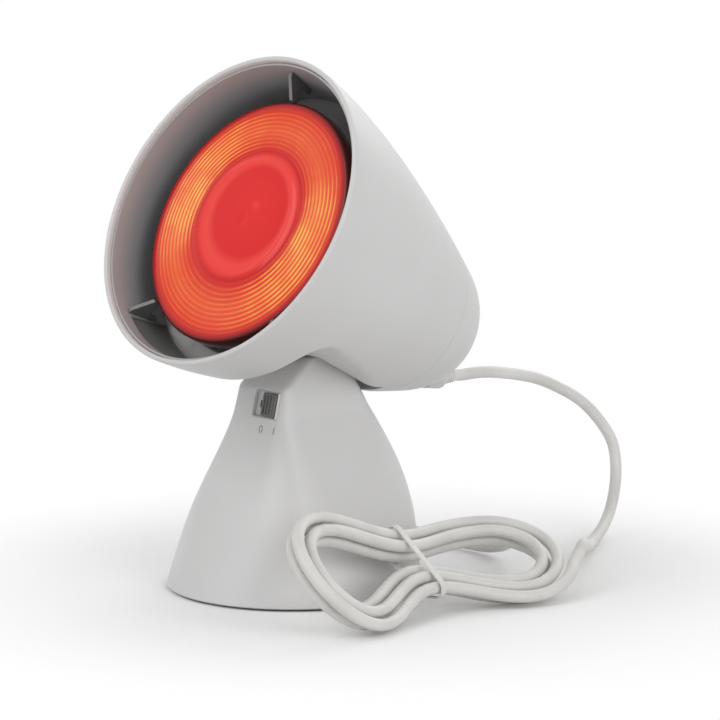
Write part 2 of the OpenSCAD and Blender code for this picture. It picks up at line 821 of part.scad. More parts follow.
module hinge_lug() {
    color(steel) in_head() difference() {
        union() {
            translate([0, hinge_drop, hinge_back]) rotate([0, 90, 0])
                cylinder(r = hub_r, h = lug_t - 2 * washer_play, center = true);
            lug_arm(-washer_play);
            translate([-arm_half, bar_top, bar_from])
                cube([2 * arm_half, bar_t, bar_to - bar_from]);
            translate([-lug_screw_x - 4, bar_top, lug_screw_s - 4.5])
                cube([2 * lug_screw_x + 8, bar_t, 9]);
            translate([-flange_half, flange_top, bar_to - bar_t])
                cube([2 * flange_half, bar_top + bar_t - flange_top, bar_t]);
        }
        translate([0, hinge_drop, hinge_back]) rotate([0, 90, 0])
            cylinder(r = pin_r + pin_gap, h = 2 * lug_t, center = true);
        at_lug_screws() translate([0, 0, -1])
            cylinder(r = lug_screw_r + screw_gap, h = bar_t + 2);
        at_flange_screws() translate([0, 0, -1])
            cylinder(r = lug_screw_r + screw_gap / 2, h = bar_t + 2);
    }
}

module lug_screws() {
    color(steel) in_head() at_lug_screws() {
        translate([0, 0, -1]) cylinder(r = lug_screw_r, h = bar_t + 7);
        translate([0, 0, -screw_head_t - 0.05]) cylinder(r = screw_head_r, h = screw_head_t);
    }
}

// ---------- Cord gland and terminals ----------

gland_l = 16;
gland_tip_r = 3.7;
gland_root_r = 5.4;
gland_in = 8;
module cord_gland() {
    color(white) in_head() at_gland() {
        translate([0, 0, -gland_in]) cylinder(r = gland_neck_r, h = gland_in + gland_collar_l + 1);
        translate([0, 0, gland_collar_l + 0.1])
            cylinder(r1 = gland_root_r, r2 = gland_tip_r, h = gland_l - gland_collar_l - 0.1);
    }
}

block_w = 20;
block_h = 9;
block_l = 14;
module at_block() {
    translate([-block_w / 2, -bracket_r - 4, bracket_s - block_l - 0.1]) children();
}
module terminal_block() {
    color(ceramic) in_head() at_block() difference() {
        cube([block_w, block_h, block_l]);
        for (i = [0:1]) translate([block_w * (0.25 + i * 0.5), -1, block_l / 2])
            rotate([-90, 0, 0]) cylinder(r = 2.2, h = 5);
    }
}
module terminal_screws() {
    color(brass) in_head() at_block() for (i = [0:1])
        translate([block_w * (0.25 + i * 0.5), 0.5, block_l / 2])
        rotate([-90, 0, 0]) cylinder(r = 2, h = 3.3);
}

// ---------- Mains lead: drop, tied hank, tail and plug ----------

cord_r = cord_d / 2;
cord_sides = 8;
function unit(v) = v / norm(v);
function directions(path) = [for (i = [0:len(path) - 1])
    unit(path[min(i + 1, len(path) - 1)] - path[max(i - 1, 0)])];
// Side vectors carried along a path without twisting
function carried(along, first) = [for (i = 0, n = unit(first - (first * along[0]) * along[0]);
    i < len(along);
    i = i + 1, n = i < len(along) ? unit(n - (n * along[i]) * along[i]) : n) n];
// Smooth path through points, in equal steps between each two
function spline(p, steps) = concat([for (i = [0:len(p) - 2], k = [0:steps - 1])
    let (x = k / steps, a = p[max(i - 1, 0)], b = p[i], c = p[i + 1], d = p[min(i + 2, len(p) - 1)])
    b + 0.5 * ((c - a) * x + (2 * a - 5 * b + 4 * c - d) * x * x
        + (3 * b - a - 3 * c + d) * x * x * x)], [p[len(p) - 1]]);

module tube(path, sides, first) {
    along = directions(path);
    side = carried(along, first);
    points = [for (k = [0:len(path) - 1], i = [0:sides - 1])
        let (a = 360 * (i + 0.5) / sides, up = cross(along[k], side[k]))
        path[k] + cord_r * (cos(a) * side[k] + sin(a) * up)];
    polyhedron(points = points, faces = loft_faces(len(path), sides), convexity = 20);
}

// The hank has two layers. Its loops spiral in on the upper one, climb down along the
// run nearest to the table and spiral out on the lower one.
hank_rings = 24;
hank_sides = 6;
hank_from = -0.22;
hank_to = 3.6;
hank_width = 32;
hank_run = 52;
hank_waist = 19;
hank_step = 7.2;
hank_layer = 6.6;
hank_middle = [74, 4];
hank_bend = 0.003;
hank_lean_front = 48;
hank_lean_back = 25;
fold_share = 0.28;
run_share = 0.11;

function eased(x) = let (c = min(1, max(0, x))) c * c * (3 - 2 * c);
// A loop laid flat, by turns: [along the hank, across it, layer]
function hank_flat(t) =
    let (q = t - floor(t + run_share + fold_share),
        r = hank_width - hank_step * (t < 2 ? t : 4 - t),
        back = 180 * (q + run_share + fold_share) / fold_share,
        front = 180 * (q - run_share) / fold_share,
        end = hank_run * (q - 0.5) / run_share,
        flat = q < -run_share ? [hank_run + r * sin(back), -r * cos(back)]
            : q < run_share ? [-hank_run * q / run_share, r]
            : q < run_share + fold_share ? [-hank_run - r * sin(front), r * cos(front)]
            : [end, -r],
        drawn = abs(flat[0]) < hank_run ? (1 + cos(180 * flat[0] / hank_run)) / 2 : 0)
    [flat[0], flat[1] - sign(flat[1]) * (hank_width - hank_waist) * drawn,
        hank_layer * (1 - eased(2 * t - 3.5))];
function hank_lean(u) = hank_lean_front
    + (hank_lean_back - hank_lean_front) * eased((u + hank_run) / (2 * hank_run));
// Its place in the room: bent round the foot and leaning on its outer edge
function hank_raised(p) =
    let (lean = hank_lean(p[0]), side = unit([1, -2 * hank_bend * p[0]]),
        out = p[1] * cos(lean) + p[2] * sin(lean))
    [hank_middle[0] + hank_bend * p[0] * p[0] + out * side[0],
        hank_middle[1] + p[0] + out * side[1],
        (hank_width - p[1]) * sin(lean) + p[2] * cos(lean)];
function hank_turns(rings) = [for (i = [0:round((hank_to - hank_from) * rings)])
    hank_raised(hank_flat(hank_from + i * (hank_to - hank_from)
        / round((hank_to - hank_from) * rings)))];
hank_low = min([for (p = hank_turns(hank_rings)) p[2]]);
hank_loops = [for (p = hank_turns(hank_rings)) p + [0, 0, cord_r + 0.1 - hank_low]];
hank_last = len(hank_loops) - 1;
hank_in_dir = unit(hank_loops[1] - hank_loops[0]);
hank_out_dir = unit(hank_loops[hank_last] - hank_loops[hank_last - 1]);
hank_start = hank_loops[0] - cord_d * hank_in_dir;
hank_end = hank_loops[hank_last] + cord_d * hank_out_dir;
hank_path = concat([hank_start], hank_loops, [hank_end]);

// Least gap of the hank's loops to each other, on four points to each ring
fine_per_ring = 4;
hank_fine = [for (p = hank_turns(hank_rings * fine_per_ring)) p];
hank_skip = 2 * fine_per_ring;
hank_gap = min([for (i = [0:len(hank_fine) - 1 - hank_skip])
    min([for (j = [i + hank_skip:len(hank_fine) - 1]) norm(hank_fine[i] - hank_fine[j])])]) - cord_d;
echo(hank_gap = hank_gap);

gland_dir = [0, cos(gland_turn - tilt), sin(gland_turn - tilt)];
gland_tip = head_point(gland_h - gland_l * sin(gland_turn), gland_s + gland_l * cos(gland_turn));
drop_points = [[0, 133, 88], [0, 163, 82], [1, 183, 74], [3, 198, 65], [6, 209, 53], [9, 214, 42],
    [13, 212, 28], [18, 204, 15], [26, 190, 7], [38, 170, 4],
    [54, 148, 6], [72, 126, 11], [88, 109, 17]];
drop_path = concat([gland_tip], spline(concat([gland_tip + cord_d * gland_dir], drop_points,
    [hank_start - 2 * cord_d * hank_in_dir, hank_start - cord_d * hank_in_dir]), 2), [hank_start]);

tail_points = [[53, 84, 23], [48, 97, 17], [37, 108, 10], [20, 114, 5], [2, 115, 4], [-16, 112, 5]];
plug_start = [-40, 106, 7];
plug_turn = 195;
plug_dir = [cos(plug_turn), sin(plug_turn), 0];
relief_l = 22;
relief_tip_r = 3.4;
relief_root_r = 5.4;
plug_l = 26;
tail_path = concat([hank_end], spline(concat([hank_end + cord_d * hank_out_dir], tail_points,
    [plug_start - cord_d * plug_dir]), 2), [plug_start]);

function length_of(path) = len(path) < 2 ? 0
    : [for (p = path) 1] * [for (i = [0:len(path) - 1]) i == 0 ? 0 : norm(path[i] - path[i - 1])];
echo(lead_length = length_of(drop_path) + length_of(hank_path) + length_of(tail_path));

module cord_drop() {
    color(white) tube(drop_path, cord_sides, [1, 0, 0]);
}
module cord_hank() {
    color(white) tube(hank_path, hank_sides, [0, 0, 1]);
}
module cord_tail() {
    color(white) tube(tail_path, cord_sides, [0, 0, 1]);
}

tie_gap = 1.4;
tie_t = 0.8;
tie_w = 3;
module tie_outline(grow) {
    hull() for (t = [0:0.5:3.5]) let (p = hank_flat(t)) translate([p[1], p[2]])
        circle(r = cord_r + tie_gap + grow, $fn = 24);
}
module hank_tie() {
    lean = hank_lean(0);
    color(pale) translate([hank_middle[0], hank_middle[1],
        hank_width * sin(lean) + cord_r + 0.1 - hank_low])
        rotate([0, lean, 0]) rotate([90, 0, 0])
        linear_extrude(height = tie_w, center = true) difference() {
            tie_outline(tie_t);
            tie_outline(0);
        }
}

module at_plug() {
    translate(plug_start) rotate([0, 0, plug_turn]) rotate([0, 90, 0]) children();
}
module plug_body() {
    side_x = (plug_w - plug_t) / 2;
    color(white) at_plug() {
        cylinder(r1 = relief_tip_r, r2 = relief_root_r, h = relief_l);
        translate([0, 0, relief_l]) {
            for (side = [-1, 1]) translate([0, side * side_x, 0]) cylinder(r = plug_t / 2, h = plug_l);
            translate([-plug_t / 2, -side_x, 0]) cube([plug_t, 2 * side_x, plug_l]);
        }
    }
}

plug_pin_r = 2;
plug_pin_l = 19;
plug_pin_in = 8;
module plug_pins() {
    color(brass) at_plug() for (side = [-1, 1])
        translate([0, side * pin_pitch / 2, relief_l + plug_l])
        cylinder(r = plug_pin_r, h = plug_pin_l);
}

foot_shell();
floor_plate();
rubber_pad();
foot_weight();
floor_screws();
hinge_frame();
frame_screws();
hinge_pin();
friction_washers();
switch_bezel();
switch_body();
switch_terminals();
switch_knob();
head_shell();
rear_cap();
cap_screws();
inner_sleeve();
bulb_clips();
bulb_face();
bulb_bowl();
bulb_cap();
bulb_insulator();
bulb_contact();
bulb_filament();
lamp_holder();
holder_sleeve();
holder_contact();
holder_bracket();
holder_screws();
hinge_lug();
lug_screws();
cord_gland();
terminal_block();
terminal_screws();
cord_drop();
cord_hank();
hank_tie();
cord_tail();
plug_body();
plug_pins();
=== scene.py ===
# Infrared heat therapy lamp, dressed over its CAD solids: a bell shaped head that tilts on the
# neck of a flared foot, a lit red reflector bulb, a slide switch and a tied mains lead.
# Sizes are in millimetres inside each section and in metres once they reach a mesh.
import math

import bmesh
import bpy
import numpy as np
from mathutils import Matrix, Vector


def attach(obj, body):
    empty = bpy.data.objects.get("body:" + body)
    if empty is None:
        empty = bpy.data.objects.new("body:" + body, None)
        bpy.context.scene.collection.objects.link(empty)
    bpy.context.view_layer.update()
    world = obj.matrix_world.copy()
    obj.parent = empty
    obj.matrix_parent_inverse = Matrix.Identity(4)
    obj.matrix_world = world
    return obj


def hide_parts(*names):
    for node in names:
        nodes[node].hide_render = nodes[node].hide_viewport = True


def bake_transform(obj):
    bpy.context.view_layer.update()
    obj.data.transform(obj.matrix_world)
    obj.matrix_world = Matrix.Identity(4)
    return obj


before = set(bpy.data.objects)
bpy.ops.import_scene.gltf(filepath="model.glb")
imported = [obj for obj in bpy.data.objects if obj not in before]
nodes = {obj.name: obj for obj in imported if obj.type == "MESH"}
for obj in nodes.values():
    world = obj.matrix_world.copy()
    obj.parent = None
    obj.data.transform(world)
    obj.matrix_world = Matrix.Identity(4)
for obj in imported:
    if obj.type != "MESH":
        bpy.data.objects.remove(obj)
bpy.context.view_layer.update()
scene = bpy.context.scene
scene.view_settings.view_transform = "Standard"

# ---------- Camera ----------
# Stands in front of the lamp and to its left, a little above it, 2 m from the foot, with a
# long lens. Its place was fitted to the photo's rim, bulb, foot and lead.
azimuth, elevation = math.radians(46.31), math.radians(9.26)
back = Vector((math.sin(azimuth) * math.cos(elevation),
    -math.cos(azimuth) * math.cos(elevation), math.sin(elevation)))
right = Vector((math.cos(azimuth), math.sin(azimuth), 0))
above = back.cross(right)
camera = bpy.data.objects.new("camera", bpy.data.cameras.new("camera"))
camera.data.sensor_fit = "HORIZONTAL"
camera.data.sensor_width = 36
camera.data.lens = 36 * 4175.92 / 720
camera.data.clip_start, camera.data.clip_end = 0.05, 50
place = right * 0.03169 + above * 0.10753 + back * 2.0
camera.matrix_world = Matrix((
    (right.x, above.x, back.x, place.x), (right.y, above.y, back.y, place.y),
    (right.z, above.z, back.z, place.z), (0, 0, 0, 1)))
scene.collection.objects.link(camera)
scene.camera = camera


# ---------- Table, backdrop and lights ----------
# A plain table top that fades to white away from the lamp, a white world behind it, and three
# large soft lamps: one high in front, one on the camera's right and a weaker one behind.
class Wire:
    """A socket of a material. Sums, products and powers of wires and numbers add Math nodes,
    and node() adds any other kind of node."""

    def __init__(self, tree, socket=None):
        self.tree, self.socket = tree, socket

    def node(self, kind, settings=None, sockets=None, out=0):
        """Adds a shader node of this kind: its settings first, then a value or a wire for
        each socket. The answer is a wire from its output."""
        made = self.tree.nodes.new("ShaderNode" + kind)
        for name, value in (settings or {}).items():
            if name == "stops":
                steps = made.color_ramp.elements
                while len(steps) < len(value):
                    steps.new(1.0)
                for step, (at, colour) in zip(steps, value):
                    step.position, step.color = at, (*colour, 1.0)
            else:
                setattr(made, name, value)
        for name, value in (sockets or {}).items():
            if isinstance(value, Wire):
                self.tree.links.new(value.socket, made.inputs[name])
            else:
                made.inputs[name].default_value = value
        return Wire(self.tree, made.outputs[out])

    def maths(self, operation, *values):
        """A Math node on these wires and numbers."""
        return self.node("Math", {"operation": operation}, dict(enumerate(values)))

    def __add__(self, other):
        return self.maths("ADD", self, other)

    def __mul__(self, other):
        return self.maths("MULTIPLY", self, other)

    def __sub__(self, other):
        return self.maths("SUBTRACT", self, other)

    def __rsub__(self, other):
        return self.maths("SUBTRACT", other, self)

    def __truediv__(self, other):
        return self.maths("DIVIDE", self, other)

    def __pow__(self, other):
        return self.maths("POWER", self, other)

    __radd__, __rmul__ = __add__, __mul__

    def between(self, low, high):
        """0 below low and 1 above high, with a smooth step from one to the other."""
        return self.node("MapRange", {"interpolation_type": "SMOOTHSTEP"},
            {"Value": self, "From Min": low, "From Max": high})

    def grain(self, scale, detail=2.0, rough=0.5):
        """Noise on this vector, from 0 to 1."""
        return self.node("TexNoise", {}, {"Vector": self, "Scale": scale, "Detail": detail,
            "Roughness": rough})

    def tint(self, first, second):
        """A colour that goes from the first at 0 to the second at 1."""
        first, second = (end if isinstance(end, Wire) else (*end, 1.0) for end in (first, second))
        return self.node("Mix", {"data_type": "RGBA"}, {0: self, 6: first, 7: second}, out=2)


class Finish:
    """A material with one Principled shader. Plain sockets are set by name; feed() links a
    wire to a socket, and relief() turns a height in metres into a bump."""

    def __init__(self, name, **plain):
        self.material = bpy.data.materials.new(name)
        self.material.use_nodes = True
        self.tree = self.material.node_tree
        self.shader = self.tree.nodes["Principled BSDF"]
        for socket, value in plain.items():
            self.shader.inputs[socket.replace("_", " ")].default_value = value
        self.place = Wire(self.tree).node("TexCoord", out="Object")

    def feed(self, **wires):
        for socket, wire in wires.items():
            self.tree.links.new(wire.socket, self.shader.inputs[socket.replace("_", " ")])
        return self

    def relief(self, height, strength=1.0):
        bump = height.node("Bump", {}, {"Height": height, "Distance": 1.0, "Strength": strength})
        return self.feed(Normal=bump)

    def dress(self, *objects):
        """Puts the material on pieces and on CAD nodes, which are given by name."""
        for one in objects:
            one = nodes[one] if isinstance(one, str) else one
            if one.material_slots:
                for slot in one.material_slots:
                    slot.material = self.material
            else:
                one.data.materials.append(self.material)


table_top = Finish("table_top", Roughness=0.6, Specular_IOR_Level=0.1)
fade_from, fade_to = 0.10, 0.26
rays = Wire(table_top.tree).node("LightPath", out="Is Camera Ray")
rays = rays + Wire(table_top.tree).node("LightPath", out="Is Glossy Ray")
table_top.feed(Base_Color=rays.between(0, 1).tint((0.85, 0.85, 0.85), (0.97, 0.97, 0.97)))
from_middle = table_top.place.node("VectorMath", {"operation": "DISTANCE"},
    {0: table_top.place, 1: (0.02, 0.04, 0.0)}, out=1)
lit_table = Wire(table_top.tree, table_top.shader.outputs["BSDF"])
plain_white = lit_table.node("Emission", {}, {"Color": (1, 1, 1, 1), "Strength": 1.0})
faded = lit_table.node("MixShader", {},
    {0: from_middle.between(fade_from, fade_to) * rays.between(0, 1), 1: lit_table, 2: plain_white})
table_top.tree.links.new(faded.socket,
    table_top.tree.nodes["Material Output"].inputs["Surface"])
floor_mesh = bpy.data.meshes.new("table")
floor_mesh.from_pydata([(-9, -9, 0), (9, -9, 0), (9, 9, 0), (-9, 9, 0)], [], [(0, 1, 2, 3)])
floor = bpy.data.objects.new("table", floor_mesh)
scene.collection.objects.link(floor)
table_top.dress(floor)

world = bpy.data.worlds.new("studio")
world.use_nodes = True
scene.world = world
sky = Wire(world.node_tree)
seen = sky.node("LightPath", out="Is Camera Ray") + sky.node("LightPath", out="Is Glossy Ray")
seen = seen + sky.node("LightPath", out="Is Transmission Ray")
background = world.node_tree.nodes["Background"]
background.inputs["Color"].default_value = (1, 1, 1, 1)
world.node_tree.links.new((0.5 + 0.5 * seen.between(0, 1)).socket, background.inputs["Strength"])


def soft_lamp(name, stand, width, watts):
    """A square area lamp that looks at the middle of the object."""
    lamp = bpy.data.objects.new(name, bpy.data.lights.new(name, "AREA"))
    lamp.data.size, lamp.data.energy = width, watts
    lamp.location = stand
    lamp.rotation_mode = "QUATERNION"
    lamp.rotation_quaternion = (Vector(stand) - Vector((0, 0.02, 0.13))).to_track_quat("Z", "Y")
    scene.collection.objects.link(lamp)


soft_lamp("main_lamp", (-0.5, -1.6, 1.5), 1.3, 14.5)
soft_lamp("side_lamp", (1.9, -0.2, 0.9), 1.4, 14.5)
soft_lamp("back_lamp", (-0.6, 1.9, 1.2), 1.4, 10)

# ---------- Mains lead ----------
# Round two core lead in off-white soft vinyl, 5.8 mm thick and about 1.9 m long. It leaves the
# head's back, drops to the table and is folded into a hank with one open tie at its waist.
cord_r = 2.9
tilt = math.radians(28)
hinge = np.array([0.0, 6.0, 91.5])
hinge_drop, hinge_back = 60.0, 86.5


def in_head(across, down, behind):
    """Place in the room of points in the head's own frame: across the lamp, down from the
    head's axis and back from its rim. The frame is turned by the tilt about the hinge."""
    down, behind = down - hinge_drop, behind - hinge_back
    return np.stack(np.broadcast_arrays(across + 0.0 * down,
        hinge[1] - down * math.sin(tilt) + behind * math.cos(tilt),
        hinge[2] - down * math.cos(tilt) - behind * math.sin(tilt)), -1)


def through(points, steps):
    """Smooth path through points: on each stretch a cubic whose slope at both ends is half
    the step from the point before to the point after."""
    p = np.array(points, float)
    a, b = p[np.maximum(np.arange(len(p) - 1) - 1, 0)], p[:-1]
    c, d = p[1:], p[np.minimum(np.arange(len(p) - 1) + 2, len(p) - 1)]
    x = (np.arange(steps) / steps)[None, :, None]
    a, b, c, d = (q[:, None] for q in (a, b, c, d))
    path = b + 0.5 * ((c - a) * x + (2 * a - 5 * b + 4 * c - d) * x ** 2
        + (3 * b - a - 3 * c + d) * x ** 3)
    return np.vstack([path.reshape(-1, 3), p[-1:]])


def eased(x):
    """0 below 0, 1 above 1, and the cubic 3x^2 - 2x^3 between."""
    x = np.clip(x, 0, 1)
    return x * x * (3 - 2 * x)


def unit(v):
    """Vectors divided by their own lengths."""
    return v / np.linalg.norm(v, axis=-1, keepdims=True)


hank_width, hank_run, hank_waist, hank_layer = 32.0, 52.0, 19.0, 6.6
hank_x, hank_y, hank_bend, hank_step = 74.0, 4.0, 0.003, 7.2
run_share, fold_share, fold_end = 0.11, 0.28, 0.39
hank_from, hank_to, lean_front, lean_back = -0.22, 3.6, 48, 25


def hank_flat(t):
    """The hank laid flat, by turns: along it, across it, and its layer. Each turn is a run,
    a half circle, a run and a half circle. The radius shrinks by 7.2 a turn to the second
    and grows again, and a cosine draws the runs in at the waist."""
    q = t - np.floor(t + fold_end)
    r = hank_width - hank_step * np.where(t < 2, t, 4 - t)
    rear, front = np.pi * (q + fold_end) / fold_share, np.pi * (q - run_share) / fold_share
    stretches = [q < -run_share, q < run_share, q < fold_end]
    along = np.select(stretches,
        [hank_run + r * np.sin(rear), -hank_run * q / run_share, -hank_run - r * np.sin(front)],
        hank_run * (q - 0.5) / run_share)
    across = np.select(stretches,
        [-r * np.cos(rear), r, r * np.cos(front)], -r)
    drawn = np.where(abs(along) < hank_run, (1 + np.cos(np.pi * along / hank_run)) / 2, 0)
    across = across - np.sign(across) * (hank_width - hank_waist) * drawn
    return along, across, hank_layer * (1 - eased(2 * t - 3.5))


def hank_raised(t):
    """The flat hank set in the room: bent round the foot along a parabola, and leaning on its
    outer edge at 48 degrees in front and 25 at the back."""
    along, across, layer = hank_flat(t)
    lean = np.radians(lean_front
        - (lean_front - lean_back) * eased((along + hank_run) / (2 * hank_run)))
    side = unit(np.stack([np.ones_like(t), -2 * hank_bend * along], -1))
    out = across * np.cos(lean) + layer * np.sin(lean)
    return np.stack([hank_x + hank_bend * along ** 2 + out * side[:, 0],
        hank_y + along + out * side[:, 1],
        (hank_width - across) * np.sin(lean) + layer * np.cos(lean)], -1)


coarse = hank_raised(np.linspace(hank_from, hank_to, 93))
hank_lift = cord_r + 0.1 - coarse[:, 2].min()
hank_loops = hank_raised(np.linspace(hank_from, hank_to, 277)) + [0, 0, hank_lift]
coarse = coarse + [0, 0, hank_lift]
way_in, way_out = unit(coarse[1] - coarse[0]), unit(coarse[-1] - coarse[-2])
hank_start, hank_end = coarse[0] - 2 * cord_r * way_in, coarse[-1] + 2 * cord_r * way_out
gland_down, gland_behind, gland_turn = 20.0, 161.0, math.radians(20)
gland_tip = in_head(0.0, np.float64(gland_down - 16 * math.sin(gland_turn)),
    np.float64(gland_behind + 16 * math.cos(gland_turn)))
gland_way = np.array([0, math.cos(gland_turn - tilt), math.sin(gland_turn - tilt)])
plug_start, plug_turn = np.array([-40.0, 106.0, 7.0]), math.radians(195)
plug_way = np.array([math.cos(plug_turn), math.sin(plug_turn), 0.0])
drop_path = np.vstack([gland_tip, through(np.vstack([gland_tip + 2 * cord_r * gland_way,
    [(0, 133, 88), (0, 163, 82), (1, 183, 74), (3, 198, 65), (6, 209, 53), (9, 214, 42),
    (13, 212, 28), (18, 204, 15), (26, 190, 7), (38, 170, 4),
    (54, 148, 6), (72, 126, 11), (88, 109, 17)],
    hank_start - 4 * cord_r * way_in, hank_start - 2 * cord_r * way_in]), 4), hank_start])
tail_path = through(np.vstack([hank_end + 2 * cord_r * way_out,
    [(53, 84, 23), (48, 97, 17), (37, 108, 10), (20, 114, 5), (2, 115, 4), (-16, 112, 5)],
    plug_start - 2 * cord_r * plug_way]), 4)
hank_path = np.vstack([hank_start, hank_loops, hank_end, tail_path, plug_start])


def woven(name, grid, rows_close=False, keep_edges=50):
    """Mesh piece of a grid of points, rows by columns, in millimetres. The columns run round
    and close, and so do the rows if asked. Equal points become one, faces turn outwards, and
    edges sharper than an angle stay sharp."""
    rows, columns = grid.shape[:2]
    at = np.arange(rows * columns).reshape(rows, columns)
    low, high = (at, np.roll(at, -1, 0)) if rows_close else (at[:-1], at[1:])
    faces = np.stack([low, np.roll(low, -1, 1), np.roll(high, -1, 1), high], -1).reshape(-1, 4)
    mesh = bpy.data.meshes.new(name)
    mesh.from_pydata(grid.reshape(-1, 3) / 1000, [], faces)
    return finished(name, mesh, keep_edges)


def finished(name, mesh, keep_edges=50):
    """Joins equal points, turns the faces outwards, smooths them and links the piece."""
    work = bmesh.new()
    work.from_mesh(mesh)
    bmesh.ops.remove_doubles(work, verts=work.verts, dist=2e-6)
    bmesh.ops.recalc_face_normals(work, faces=work.faces)
    work.to_mesh(mesh)
    work.free()
    mesh.shade_smooth()
    mesh.set_sharp_from_angle(angle=math.radians(keep_edges))
    piece = bpy.data.objects.new(name, mesh)
    scene.collection.objects.link(piece)
    return piece


def capped(grid):
    """The grid with a last point in the middle of each end, which closes it."""
    ends = [np.repeat(row.mean(0)[None, None], grid.shape[1], 1) for row in (grid[0], grid[-1])]
    return np.concatenate([ends[0], grid, ends[1]])


def tube(path, radius, sides, first):
    """A ring of points about each point of a path, in the plane across it. The ring's first
    side is carried along the path without twisting."""
    along = unit(np.gradient(path, axis=0))
    side = unit(np.cross(np.cross(along[0], first), along[0]))
    sides_way = [side]
    for way in along[1:]:
        side = unit(side - (side @ way) * way)
        sides_way.append(side)
    sides_way = np.array(sides_way)
    up = np.cross(along, sides_way)
    a = np.linspace(0, 2 * np.pi, sides, endpoint=False)[None, :, None]
    ring = np.cos(a) * sides_way[:, None] + np.sin(a) * up[:, None]
    return path[:, None] + np.broadcast_to(radius, len(path))[:, None, None] * ring


vinyl = Finish("cord_vinyl", Roughness=0.42, IOR=1.48)
cloud = vinyl.place.grain(45, 3)
vinyl.feed(Base_Color=cloud.between(0.3, 0.7).tint((0.64, 0.625, 0.60), (0.72, 0.71, 0.68)),
    Roughness=0.36 + 0.14 * vinyl.place.grain(260, 3))
vinyl.relief(0.00006 * vinyl.place.grain(900, 3) + 0.00012 * vinyl.place.grain(160, 1))

lead_drop = woven("lead_drop", capped(tube(drop_path, cord_r, 20, (1, 0, 0))))
lead_hank = woven("lead_hank", capped(tube(hank_path, cord_r, 20, (0, 0, 1))))
vinyl.dress(lead_drop, lead_hank)
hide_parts("cord_drop")
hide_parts("cord_hank", "cord_tail")
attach(lead_hank, "foot")
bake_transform(lead_drop)


# ---------- Hank tie ----------
# A flat band of soft vinyl, 3 mm wide and 0.8 mm thick, closed round the strands where the
# hank is narrowest. Its two edges are rounded.
along, across, layer = hank_flat(np.arange(0, 4, 0.5))
strands = np.stack([across, layer], -1)
way = np.linspace(0, 2 * np.pi, 160, endpoint=False)
way = np.stack([np.cos(way), np.sin(way)], -1)
band = [(0.0, -1.5), (0.0, 1.5), (0.25, 1.5), (0.8, 1.1), (0.8, -1.1), (0.25, -1.5)]
loops = []
for grow, wide in band:
    loop = strands[(way @ strands.T).argmax(1)] + (cord_r + 1.4 + grow) * way
    lean = math.radians(lean_front - (lean_front - lean_back) * float(eased(0.5)))
    loops.append(np.stack([hank_x + loop[:, 0] * math.cos(lean) + loop[:, 1] * math.sin(lean),
        np.full(len(loop), hank_y + wide),
        hank_width * math.sin(lean) + hank_lift - loop[:, 0] * math.sin(lean)
        + loop[:, 1] * math.cos(lean)], -1))
tie = woven("hank_tie_band", np.array(loops), rows_close=True)
vinyl.dress(tie)
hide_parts("hank_tie")
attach(tie, "foot")

# ---------- Plug and its pins ----------
# Flat two pin plug moulded on the lead in the same vinyl: a ribbed strain relief, rounded
# shoulders and a flat oval body. The brass pins are sleeved over their first half.
up = np.array([0.0, 0.0, 1.0])
plug_side = np.cross(up, plug_way)
reach = np.concatenate([np.linspace(0, 22, 67), np.linspace(22.3, 30, 14),
    np.linspace(31, 46.8, 9), 48 - 1.2 * (1 - np.sin(np.linspace(0.15, np.pi / 2, 7)))])
ribs = np.where(reach < 20.5, 0.45 * (np.sin(2 * np.pi * reach / 3.2) > 0.35), 0.0)
relief_r = 3.4 + 2.0 * reach / 22 - ribs
swell = eased((reach - 22) / 6.5)
round_end = np.where(reach > 46.8, 1.2 * (1 - np.sqrt(np.clip(1 - ((reach - 46.8) / 1.2) ** 2,
    0, 1))), 0.0)
half_wide = np.where(reach < 22, relief_r, 5.4 + (17.5 - 5.4) * swell - round_end)
half_thick = np.where(reach < 22, relief_r, 5.4 + (6.85 - 5.4) * swell - round_end)
a = np.linspace(0, 2 * np.pi, 72, endpoint=False)
oval = 2 + 1.3 * swell[:, None]
wide = half_wide[:, None] * np.sign(np.cos(a)) * abs(np.cos(a)) ** (2 / oval)
thick = half_thick[:, None] * np.sign(np.sin(a)) * abs(np.sin(a)) ** (2 / oval)
plug_grid = plug_start + reach[:, None, None] * plug_way + wide[..., None] * plug_side \
    + thick[..., None] * up
plug = woven("plug_moulding", capped(plug_grid), keep_edges=40)
vinyl.dress(plug)
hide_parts("plug_body")
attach(plug, "foot")

pins = Finish("plug_pin_brass", Metallic=1.0, Roughness=0.25)
tip = plug_start + 48 * plug_way
along_pin = pins.place.node("VectorMath", {"operation": "DOT_PRODUCT"},
    {0: pins.place, 1: tuple(plug_way)}, out=1)
bare = along_pin.between((tip @ plug_way + 9.7) / 1000, (tip @ plug_way + 10.0) / 1000)
pins.feed(Base_Color=bare.tint((0.55, 0.54, 0.52), (0.72, 0.53, 0.24)), Metallic=bare,
    Roughness=0.45 - 0.22 * bare + 0.1 * pins.place.grain(700, 2))
pins.dress("plug_pins")
hank_start / 1000

# ---------- Foot shell ----------
# One hollow moulding in satin white plastic. It is round at the table, is drawn in to a
# squarish neck with soft corners, and has openings for the switch and for the hinge's lug.
foot_r, pad_t, neck_z, neck_r = 61.0, 1.2, 84.0, 21.5
front_end, half_end, rear_end = 25.0, 20.0, 37.0
shoulder_z, shoulder_front, top_half, crown = 98.0, 21.5, 15.0, 1.3
rear_run, rear_rise = rear_end - hinge[1], hinge[2] - neck_z
front_lean = math.atan((front_end - shoulder_front) / (shoulder_z - neck_z))
rear_lean = math.acos(neck_r / math.hypot(rear_run, rear_rise)) - math.atan(rear_rise / rear_run)


